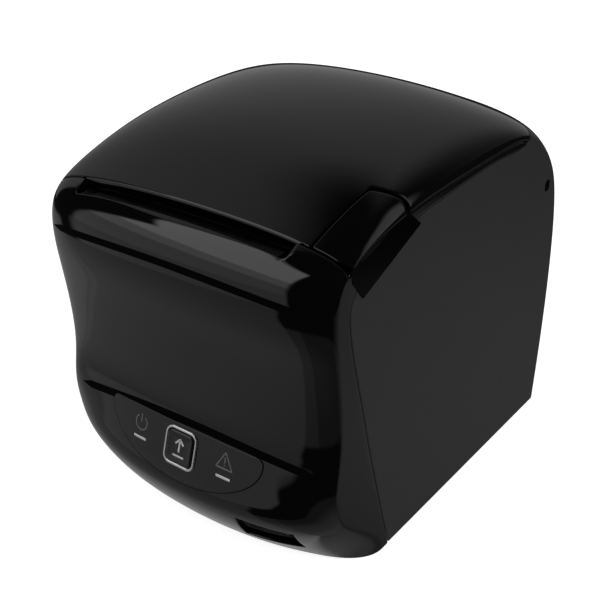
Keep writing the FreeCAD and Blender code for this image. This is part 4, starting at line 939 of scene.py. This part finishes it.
def ribbon(bm, points, width, place):
    """A flat band of even width along a line, laid with the given placing function."""
    left, right = [], []
    for i, (x, y) in enumerate(points):
        before, after = points[max(i - 1, 0)], points[min(i + 1, len(points) - 1)]
        along = Vector((after[0] - before[0], after[1] - before[1])).normalized()
        left.append(place(x - along.y * width / 2, y + along.x * width / 2))
        right.append(place(x + along.y * width / 2, y - along.x * width / 2))
    lay_grid(bm, [left, right])


def straight(a, b, count=8):
    """Points along a straight line."""
    return list(zip(spread(a[0], b[0], count), spread(a[1], b[1], count)))


def bow(x, y, wide, tall, start, end, count):
    """Points along an arc about (x, y), from one angle to another."""
    return [(x + wide * math.cos(a), y + tall * math.sin(a)) for a in spread(start, end, count)]


def mark(name, body, slot, bands, place):
    """One object made of several ribbons, with a hair of thickness."""
    bm = bmesh.new()
    for points, width in bands:
        ribbon(bm, points, width, place)
    obj = new_object(name, bm)
    outwards(obj.data)
    thin = obj.modifiers.new("ink", "SOLIDIFY")
    thin.thickness = INK * MM
    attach(obj, body)
    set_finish(obj, slot)
    return obj


print("ink is", INK, "mm thick")

# %% [markdown]
# ## Lines of the panel
#
# The groove is the panel's own outline, an arc below and two round corners above, set out by a quarter
# of a millimetre. The signs are simple strokes of one width, as on a real panel, so each is a few lines
# or arcs. Drawing them as curve objects would need a conversion to a mesh before they could lie on the
# bowed front.

# %% Panel marks
GROOVE_OUT, GROOVE_WIDTH, GROOVE_LIFT = 0.25, 0.4, 0.06
SIGN_X, STROKE, INK_LIFT = 20.5, 0.5, 0.27
POWER_Y, POWER_RADIUS, POWER_GAP = 2.4, 2.9, 0.6
TRIANGLE_TOP, TRIANGLE_FOOT, TRIANGLE_HALF = 6.1, -0.2, 3.6
BAR_HALF, BAR_Y, BAR_WIDTH = 3.2, -3.6, 1.0


def printed(x, y):
    """A spot of ink on the panel."""
    return on_panel(x, y, INK_LIFT)


rounded_out = PANEL_CORNER + GROOVE_OUT
outline = bow(0, PANEL_SPRING, PANEL_HALF + GROOVE_OUT, PANEL_BOW + GROOVE_OUT, math.pi, 2 * math.pi, 161)
for centre, start in ((PANEL_HALF - PANEL_CORNER, 0.0), (PANEL_CORNER - PANEL_HALF, math.pi / 2)):
    outline += bow(centre, PANEL_SPRING, rounded_out, rounded_out, start, start + math.pi / 2, 13)[1:]
groove = mark("panel_groove", "case", "inner_black", [(outline, GROOVE_WIDTH)],
              lambda x, y: on_panel(x, y, GROOVE_LIFT))
open_ring = bow(-SIGN_X, POWER_Y, POWER_RADIUS, POWER_RADIUS, math.pi / 2 - POWER_GAP,
                POWER_GAP - 3 * math.pi / 2, 40)
upright = straight((-SIGN_X, 2.6), (-SIGN_X, 6.0))
power_sign = mark("power_sign", "case", "pale_lens", [(open_ring, STROKE), (upright, STROKE)], printed)
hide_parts("power_lens")
corners = [(SIGN_X, TRIANGLE_TOP), (SIGN_X + TRIANGLE_HALF, TRIANGLE_FOOT),
           (SIGN_X - TRIANGLE_HALF, TRIANGLE_FOOT)]
strokes = [straight(corners[i], corners[(i + 1) % 3], 12) for i in range(3)]
strokes += [straight((SIGN_X, 4.2), (SIGN_X, 2.0)), straight((SIGN_X, 1.3), (SIGN_X, 0.8), 3)]
error_sign = mark("error_sign", "case", "pale_lens", [(line, STROKE) for line in strokes], printed)
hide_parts("error_lens")
bars = [straight((x - BAR_HALF, BAR_Y), (x + BAR_HALF, BAR_Y), 16) for x in (-SIGN_X, SIGN_X)]
label_bars = mark("label_bars", "case", "pale_lens", [(bar, BAR_WIDTH) for bar in bars], printed)
print("marks:", power_sign.name, error_sign.name, label_bars.name)

# %% [markdown]
# ## Button ring
#
# A satin silver ring frames the feed button. It could be a bevelled box with a hole. One rounded square
# outline, repeated at several sizes and depths and joined into a band, gives the ring and its rounded
# edges in one go.

# %% Button ring
RING, RING_WIDTH, RING_OUT, RING_CORNER, RING_FOOT = 7.6, 1.2, 0.8, 3.4, -2.0
CORNER_POINTS = 11


def over_panel(x, y, out):
    """A point straight above the panel's flat frame."""
    return PANEL + Vector((x, 0, 0)) + PANEL_UP * y + PANEL_OUT * out


def rounded(half, corner):
    """A square outline with round corners, in the panel's flat frame."""
    points = []
    for quarter, (right, up) in enumerate(((1, 1), (-1, 1), (-1, -1), (1, -1))):
        start = math.pi / 2 * quarter
        inner = half - corner
        points += bow(inner * right, inner * up, corner, corner, start, start + math.pi / 2, CORNER_POINTS)
    return points


def loops(bm, profile):
    """Join rounded outlines, each given as (half size, corner, depth), into a band."""
    rows = []
    for half, corner, out in profile:
        ring = [over_panel(x, y, out) for x, y in rounded(half, corner)]
        rows.append(ring + ring[:1])
    lay_grid(bm, rows)


outer_edge = [(0, RING_FOOT), (0, RING_OUT - 0.35), (0.12, RING_OUT - 0.1), (0.35, RING_OUT)]
inner_edge = [(RING_WIDTH - inset, out) for inset, out in reversed(outer_edge)]
bm = bmesh.new()
loops(bm, [(RING - inset, RING_CORNER - inset, out) for inset, out in outer_edge + inner_edge])
ring = new_object("button_ring_trim", bm)
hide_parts("button_ring")
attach(ring, "case")
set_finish(ring, "silver_trim")
print("ring", 2 * RING, "mm square")

# %% [markdown]
# ## Feed button
#
# The button is a square cap with round corners, and its top is very slightly dished for a fingertip.
# The same band of outlines makes its sides, its edge and its dish, and the small hole left in the
# middle is filled. A paper feed arrow is printed on it, and rides with the button when it is pressed.

# %% Feed button
BUTTON, BUTTON_OUT, BUTTON_FOOT, ARROW_STROKE = 6.15, 1.2, -4.8, 0.75
bm = bmesh.new()
loops(bm, [(BUTTON, 1.95, BUTTON_FOOT), (BUTTON, 1.95, BUTTON_OUT - 0.5),
           (BUTTON - 0.15, 1.8, BUTTON_OUT - 0.15), (BUTTON - 0.5, 1.5, BUTTON_OUT),
           (BUTTON - 1.0, 1.2, BUTTON_OUT), (BUTTON - 1.3, 1.0, BUTTON_OUT - 0.12),
           (2.5, 0.6, BUTTON_OUT - 0.2), (0.4, 0.1, BUTTON_OUT - 0.22)])
bmesh.ops.remove_doubles(bm, verts=bm.verts, dist=MERGE)
bmesh.ops.holes_fill(bm, edges=[e for e in bm.edges if e.is_boundary], sides=0)
button = new_object("feed_button_cap", bm)
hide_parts("feed_button")
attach(button, "button")
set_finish(button, "button_black")
arrow = [straight((0, -1.6), (0, 3.2)), straight((-2.0, 1.4), (0.1, 3.5)),
         straight((2.0, 1.4), (-0.1, 3.5)), straight((-2.6, -3.2), (2.6, -3.2))]
feed_sign = mark("feed_sign", "button", "pale_lens", [(line, ARROW_STROKE) for line in arrow],
                 lambda x, y: over_panel(x, y, BUTTON_OUT - 0.1))
print("button", 2 * BUTTON, "mm square with", feed_sign.name)

# %% [markdown]
# ## Nodes by script
#
# A material is a tree of nodes, which could be clicked together in the shader editor. By script each
# node takes three or four lines, so one helper adds a node, its settings and the values of its sockets
# at once.

# %% Adding a node
def add(tree, kind, values=(), **settings):
    """A node with its settings, and its sockets set by (name, value)."""
    item = tree.nodes.new(kind)
    for key, value in settings.items():
        setattr(item, key, value)
    for key, value in values:
        item.inputs[key].default_value = value
    return item


node_kinds = [kind for kind in dir(bpy.types) if kind.startswith("ShaderNode")]
print("kinds of node to choose from:", len(node_kinds))

# %% [markdown]
# ## How a finish is made
#
# No real surface has one even colour. Scanned pictures could show that, but they tile and stretch. Here
# every finish is a small node tree on object coordinates. A broad noise varies the tone a little, as in
# moulded and polished parts. A fine noise gives the surface its grain and varies its roughness. Metals
# and rollers stretch the fine noise into brush lines.

# %% Plain finish
CLOUD_SIZE, SHEEN_VARY, GRAIN_DEPTH = 0.02, 0.15, 0.0001


def finish(name, colour, rough, vary, grain, grain_size, metal=0.0, brush=None, shine=0.5):
    """A plastic, rubber or metal: broad variation of tone, fine grain as bump, and varied roughness."""
    material = bpy.data.materials.new(name)
    material.use_nodes = True
    tree = material.node_tree
    shader = tree.nodes["Principled BSDF"]
    shader.inputs["Metallic"].default_value = metal
    shader.inputs["Specular IOR Level"].default_value = shine
    place = add(tree, "ShaderNodeTexCoord")
    source = place.outputs["Object"]
    if brush:
        stretch = add(tree, "ShaderNodeMapping", [("Scale", brush)])
        tree.links.new(source, stretch.inputs["Vector"])
        source = stretch.outputs["Vector"]
    cloud = add(tree, "ShaderNodeTexNoise", [("Scale", 1 / CLOUD_SIZE), ("Detail", 3.0)])
    tree.links.new(place.outputs["Object"], cloud.inputs["Vector"])
    tone = add(tree, "ShaderNodeMix", data_type="RGBA")
    tone.inputs["A"].default_value = [c * (1 - vary) for c in colour] + [1]
    tone.inputs["B"].default_value = [c * (1 + vary) for c in colour] + [1]
    tree.links.new(cloud.outputs["Fac"], tone.inputs["Factor"])
    tree.links.new(tone.outputs["Result"], shader.inputs["Base Color"])
    fine = add(tree, "ShaderNodeTexNoise", [("Scale", 1 / grain_size), ("Detail", 2.0)])
    tree.links.new(source, fine.inputs["Vector"])
    sheen = add(tree, "ShaderNodeMapRange", [("From Min", 0.3), ("From Max", 0.7)])
    sheen.inputs["To Min"].default_value = rough * (1 - SHEEN_VARY)
    sheen.inputs["To Max"].default_value = rough * (1 + SHEEN_VARY)
    tree.links.new(fine.outputs["Fac"], sheen.inputs["Value"])
    tree.links.new(sheen.outputs["Result"], shader.inputs["Roughness"])
    bump = add(tree, "ShaderNodeBump", [("Strength", grain), ("Distance", GRAIN_DEPTH)])
    tree.links.new(fine.outputs["Fac"], bump.inputs["Height"])
    tree.links.new(bump.outputs["Normal"], shader.inputs["Normal"])
    return material


print("roughness varies by", SHEEN_VARY, "either way")

# %% [markdown]
# ## Outer finishes
#
# The front, cover and lever are polished black, with only a trace of waviness, because the gloss is
# what makes the printer look as it does. The case is satin charcoal with a spark texture. Each line
# gives a name, a colour, the roughness, the variation of tone, the depth of the grain and its size in
# metres.

# %% Outer finishes
BLACK = (0.0012, 0.0012, 0.0013)
finishes = {
    "satin_case": finish("satin charcoal", (0.027, 0.027, 0.028), 0.46, 0.08, 0.35, 0.00045),
    "gloss_front": finish("polished black", BLACK, 0.03, 0.15, 0.006, 0.004),
    "gloss_panel": finish("panel black", (0.0014, 0.0014, 0.0015), 0.06, 0.12, 0.008, 0.003),
    "button_black": finish("button black", (0.004, 0.004, 0.0043), 0.14, 0.12, 0.03, 0.0015),
    "silver_trim": finish("satin silver", (0.62, 0.63, 0.65), 0.3, 0.06, 0.06, 0.0006, metal=1.0),
    "pale_lens": finish("white ink", (0.72, 0.72, 0.73), 0.4, 0.05, 0.05, 0.0006),
    # The rocker is black plastic, its colour lightened as painted light in the shaded recess.
    "switch_black": finish("switch black lightened as painted light", (0.022, 0.022, 0.023), 0.34, 0.1, 0.2, 0.0005),
    "foot_rubber": finish("foot rubber", (0.02, 0.02, 0.02), 0.8, 0.15, 0.5, 0.0007),
}
faint_ink = finish("faint ink", (0.17, 0.17, 0.175), 0.35, 0.08, 0.05, 0.0006)
skirt_black = finish("skirt black", BLACK, 0.08, 0.12, 0.01, 0.003, shine=0.05)
# Dull near black: the panel groove's dark joint, painted shade in the side slot, and painted reflection on
# the front's dark lines.
groove_and_painted_dark = finish("groove black, painted shade and reflection", BLACK, 0.7, 0.1, 0.05, 0.0006, shine=0.03)
# The bezel is black plastic, its colour lightened as painted light in the shaded switch recess.
bezel_painted_light = finish("bezel lightened as painted light", (0.05, 0.05, 0.052), 0.3, 0.1, 0.1, 0.0006)
print("outer slots with a finish:", len(finishes))

# %% [markdown]
# ## Inner finishes
#
# Under the cover are plain moulded black, rubber, plated steel, a glazed print head and an aluminium
# heat sink. A brush of (0.06, 1, 1) draws the grain out along X. Circuit boards carry rows of tracks,
# and a brick pattern mixed over the plain finish gives them without drawing any.

# %% Inner finishes
ALONG_X, ALONG_Z = (0.06, 1.0, 1.0), (1.0, 1.0, 0.06)


def board_finish(name, colour, track):
    """Solder mask over rows of copper tracks."""
    material = finish(name, colour, 0.35, 0.12, 0.1, 0.0008)
    tree = material.node_tree
    shader = tree.nodes["Principled BSDF"]
    mask = next(n for n in tree.nodes if n.type == "MIX")
    place = next(n for n in tree.nodes if n.type == "TEX_COORD")
    tracks = add(tree, "ShaderNodeTexBrick", [("Scale", 260.0), ("Mortar Size", 0.06)])
    tree.links.new(place.outputs["Object"], tracks.inputs["Vector"])
    both = add(tree, "ShaderNodeMix", data_type="RGBA")
    both.inputs["B"].default_value = list(track) + [1]
    tree.links.new(mask.outputs["Result"], both.inputs["A"])
    tree.links.new(tracks.outputs["Fac"], both.inputs["Factor"])
    tree.links.new(both.outputs["Result"], shader.inputs["Base Color"])
    return material


finishes.update({
    "inner_black": finish("moulded black", (0.014, 0.014, 0.015), 0.5, 0.12, 0.3, 0.0006),
    "roller_rubber": finish("roller rubber", (0.035, 0.035, 0.038), 0.62, 0.12, 0.3, 0.0005,
                            brush=(0.15, 1.0, 1.0)),
    "steel": finish("plated steel", (0.52, 0.53, 0.55), 0.32, 0.08, 0.12, 0.0007, metal=1.0, brush=ALONG_X),
    "bearing_white": finish("acetal", (0.7, 0.7, 0.66), 0.42, 0.05, 0.1, 0.0008),
    "head_ceramic": finish("glazed ceramic", (0.5, 0.36, 0.24), 0.16, 0.1, 0.04, 0.001,
                           brush=(0.1, 1.0, 1.0)),
    "sink_aluminium": finish("extruded aluminium", (0.66, 0.66, 0.68), 0.36, 0.06, 0.15, 0.0008, metal=1.0,
                             brush=ALONG_Z),
    "board_green": board_finish("solder mask", (0.012, 0.09, 0.03), (0.05, 0.2, 0.07)),
    "led_clear": finish("clear resin", (0.8, 0.8, 0.74), 0.12, 0.05, 0.03, 0.001),
})
# Steel darkened to near black: painted shade on the parts seen through the paper mouth.
mouth_shade_steel = finish("steel darkened as painted mouth shade", (0.012, 0.012, 0.013), 0.5, 0.12, 0.1, 0.0007, shine=0.25,
                     brush=ALONG_X)
print("all slots with a finish:", len(finishes))

# %% [markdown]
# ## Painting the pieces
#
# Every CAD node takes the finish of the slot that the record gives it, and every new piece that of its
# own slot. One material for all would be simpler, but a printer is a mix of plastics, rubber and metal.
# A few pieces then get a finish of their own: fainter ink for the two signs, a duller black for the skirt,
# a dull near black that is painted reflection on the dark lines and painted shade in the side slot, a
# lighter black for the switch's bezel as painted light in its recess, and near black on the steel blades
# and bars behind the paper mouth as painted shade inside the mouth.

# %% Painting
def paint(obj, material):
    """Put one material in every slot of an object."""
    if not obj.material_slots:
        obj.data.materials.append(material)
    for place in obj.material_slots:
        place.material = material


for row in frame["record"]["subparts"]:
    paint(nodes[row["node"]], finishes[row["material_slot"]])
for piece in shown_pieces():
    if "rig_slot" in piece:
        paint(piece, finishes[piece["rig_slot"]])
for sign in (power_sign, error_sign):
    paint(sign, faint_ink)
paint(lever_skirt, skirt_black)
# Lighter bezel: painted light in the switch recess.
paint(nodes["switch_bezel"], bezel_painted_light)
# Groove as a dark joint, side slot as painted shade, front lines as painted reflection.
for dark_piece in (groove, side_slot, painted_reflection_lines):
    paint(dark_piece, groove_and_painted_dark)
# Steel seen through the paper mouth gets near black as painted shade.
for name in ("tear_bar", "fixed_blade", "moving_blade", "platen_bracket", "platen_gear"):
    paint(nodes[name], mouth_shade_steel)

# %% [markdown]
# ## A studio in the world's shader
#
# A gloss black object shows its studio more than itself. Lamps and cards could be placed round it, but
# each would have to be hidden from the camera and kept clear of the floor. So the studio is drawn in
# the world's shader. Soft steps, multiplied and added, give panels of light with clean edges.

# %% Sums of light
world = bpy.data.worlds.new("studio")
bpy.context.scene.world = world
world.use_nodes = True
studio = world.node_tree


def math_node(tree, operation, a, b=0.0):
    """One sum on two values, each a number or an output."""
    item = add(tree, "ShaderNodeMath", operation=operation)
    for socket, value in zip(item.inputs, (a, b)):
        if isinstance(value, (int, float)):
            socket.default_value = value
        else:
            tree.links.new(value, socket)
    return item.outputs["Value"]


def ease(value, low, high, top=1.0):
    """A soft step in the studio's light, from 0 at low to top at high."""
    item = add(studio, "ShaderNodeMapRange", [("From Min", low), ("From Max", high), ("To Max", top)],
               interpolation_type="SMOOTHSTEP")
    studio.links.new(value, item.inputs["Value"])
    return item.outputs["Result"]


def joined(operation, values):
    """Several values of the studio's light, multiplied or added in turn."""
    result = values[0]
    for value in values[1:]:
        result = math_node(studio, operation, result, value)
    return result


def product(*values):
    """Several values multiplied."""
    return joined("MULTIPLY", values)


def total(*values):
    """Several values added."""
    return joined("ADD", values)


print("the world starts with", len(studio.nodes), "nodes")

# %% [markdown]
# ## Directions
#
# A studio is described by where things stand round the object. The world could be a painted picture
# wrapped round it, but edges as clean as a softbox's need a very large one. Here a ray's direction
# becomes two angles: its heading in degrees from the front, positive to the right, and its height in
# degrees above the level.

# %% Directions
DEGREES = 180 / math.pi
look = add(studio, "ShaderNodeSeparateXYZ")
studio.links.new(add(studio, "ShaderNodeTexCoord").outputs["Generated"], look.inputs["Vector"])
forward = product(look.outputs["Y"], -1.0)
heading = product(math_node(studio, "ARCTAN2", look.outputs["X"], forward), DEGREES)
height = product(math_node(studio, "ARCSINE", look.outputs["Z"]), DEGREES)
print("with the two angles:", len(studio.nodes), "nodes")

# %% [markdown]
# ## Light above the table
#
# On the front left stands a tall softbox, brighter towards its top. It makes the grey face of the front
# and the bright band on the nose. Pale walls stand on the left and behind, and overhead it is dark, so
# the cover's crown shades off. On the right a broad fill lights the satin flank. Mirror rays don't see
# the fill, or it would grey the black corner of the nose. They see a narrow edge light instead, which
# draws the line along the lever.

# %% Sky
above = ease(height, -4, 0)
high_up = ease(height, 40, 48)
box_left = total(heading, product(high_up, 14.0))
wall_right = total(heading, product(high_up, -12.0))
box_level = total(height, product(heading, 0.2), 9.0)
box_width = product(ease(box_left, -64, -60), ease(heading, -12, -15))
box_light = total(0.56, ease(box_level, 15, 19, 0.36), ease(box_level, 27, 31, 0.66))
softbox = product(above, box_width, box_light, ease(box_level, 61, 57))
left_wall = product(above, ease(wall_right, -88, -92), ease(height, 76, 54, 0.33))
back_wall = product(above, ease(heading, 138, 180), ease(height, 76, 54, 0.33))
ray = add(studio, "ShaderNodeLightPath").outputs
not_mirror = math_node(studio, "SUBTRACT", 1.0, ray["Is Glossy Ray"])
fill = product(above, ease(heading, 25, 60), ease(heading, 150, 110), ease(height, 80, 50, 1.15),
               not_mirror)
edge_light = product(ease(heading, 110, 124), ease(heading, 140, 134), ease(height, -6, 2),
                     ease(height, 56, 38, 0.6))
sky_light = total(softbox, left_wall, back_wall, fill, edge_light)
print("sky:", len(studio.nodes), "nodes")

# %% [markdown]
# ## The table in mirror rays
#
# The chin and the waist mirror the table. A pale floor all round would make them grey, and in the
# picture they are black with a few clean shapes. So the floor is hidden from mirror rays, and below the
# level the world draws the table that they see: lit in front on the left, weaker on the right and
# behind, and even straight below. The camera sees white in every direction.

# %% Table
far_table = product(ease(height, 0, -4), ease(height, -22, -20, 0.41), ease(heading, -66, -60),
                    ease(heading, -12, -14))
near_right = total(heading, ease(height, -30, -24, -1.5))
near_table = product(ease(height, -20, -22, 0.27), ease(heading, -75, -72), ease(near_right, -19, -21.5))
left_table = product(ease(height, -8, -14, 0.34), ease(heading, -71, -76), ease(heading, -152, -134))
right_table = product(total(ease(heading, -22, -19, 0.15), ease(heading, -12, -9, -0.07)),
                      ease(height, -35, -38), ease(heading, 150, 100))
back_table = product(ease(height, -21, -25), ease(height, -52, -33), ease(heading, 50, 110, 0.16))
under_table = ease(height, -42, -58, 0.13)
table_light = total(far_table, near_table, left_table, right_table, back_table, under_table)
light = total(0.02, sky_light, table_light)
sky = studio.nodes["Background"]
sky.inputs["Color"].default_value = (1, 1, 1, 1)
studio.links.new(math_node(studio, "MAXIMUM", ray["Is Camera Ray"], light), sky.inputs["Strength"])
print("sky and table:", len(studio.nodes), "nodes")

# %% [markdown]
# ## Floor
#
# The printer stands on a pale sheet that keeps its soft shadow. A sheet lit by the studio alone would
# be grey, so it also glows for camera rays, and so meets the white behind it without a line. A faint
# noise keeps it from being one flat colour.

# %% Floor
FLOOR_HALF, FLOOR_GLOW = 2.5, 0.85
bm = bmesh.new()
bmesh.ops.create_grid(bm, x_segments=40, y_segments=40, size=FLOOR_HALF)
floor = new_object("floor", bm)
pale = bpy.data.materials.new("pale floor")
pale.use_nodes = True
tree = pale.node_tree
shader = tree.nodes["Principled BSDF"]
shader.inputs["Roughness"].default_value = 0.9
shader.inputs["Specular IOR Level"].default_value = 0.0
shader.inputs["Emission Color"].default_value = (1, 1, 1, 1)
cloud = add(tree, "ShaderNodeTexNoise", [("Scale", 3.0), ("Detail", 2.0)])
tree.links.new(add(tree, "ShaderNodeTexCoord").outputs["Object"], cloud.inputs["Vector"])
paper = add(tree, "ShaderNodeMix", data_type="RGBA")
paper.inputs["A"].default_value = (0.79, 0.79, 0.79, 1)
paper.inputs["B"].default_value = (0.81, 0.81, 0.81, 1)
tree.links.new(cloud.outputs["Fac"], paper.inputs["Factor"])
tree.links.new(paper.outputs["Result"], shader.inputs["Base Color"])
seen = add(tree, "ShaderNodeLightPath").outputs["Is Camera Ray"]
tree.links.new(math_node(tree, "MULTIPLY", seen, FLOOR_GLOW), shader.inputs["Emission Strength"])
floor.visible_glossy = False
paint(floor, pale)
print("floor", 2 * FLOOR_HALF, "m wide")

# %% [markdown]
# ## Camera
#
# The camera stands to the front right and above, where the photo was taken from. Its place and lens were
# fitted to the outline and the seams in the photo, so that the picture can be laid over it.

# %% Camera
lens = bpy.data.cameras.new("camera")
lens.lens = 60.6
lens.sensor_width = 36.0
camera = bpy.data.objects.new("camera", lens)
camera.location = (0.2148, -0.2967, 0.2627)
camera.rotation_euler = (math.radians(61.93), 0, math.radians(36.9))
bpy.context.scene.collection.objects.link(camera)
bpy.context.scene.camera = camera
bpy.context.scene.view_settings.view_transform = "Standard"
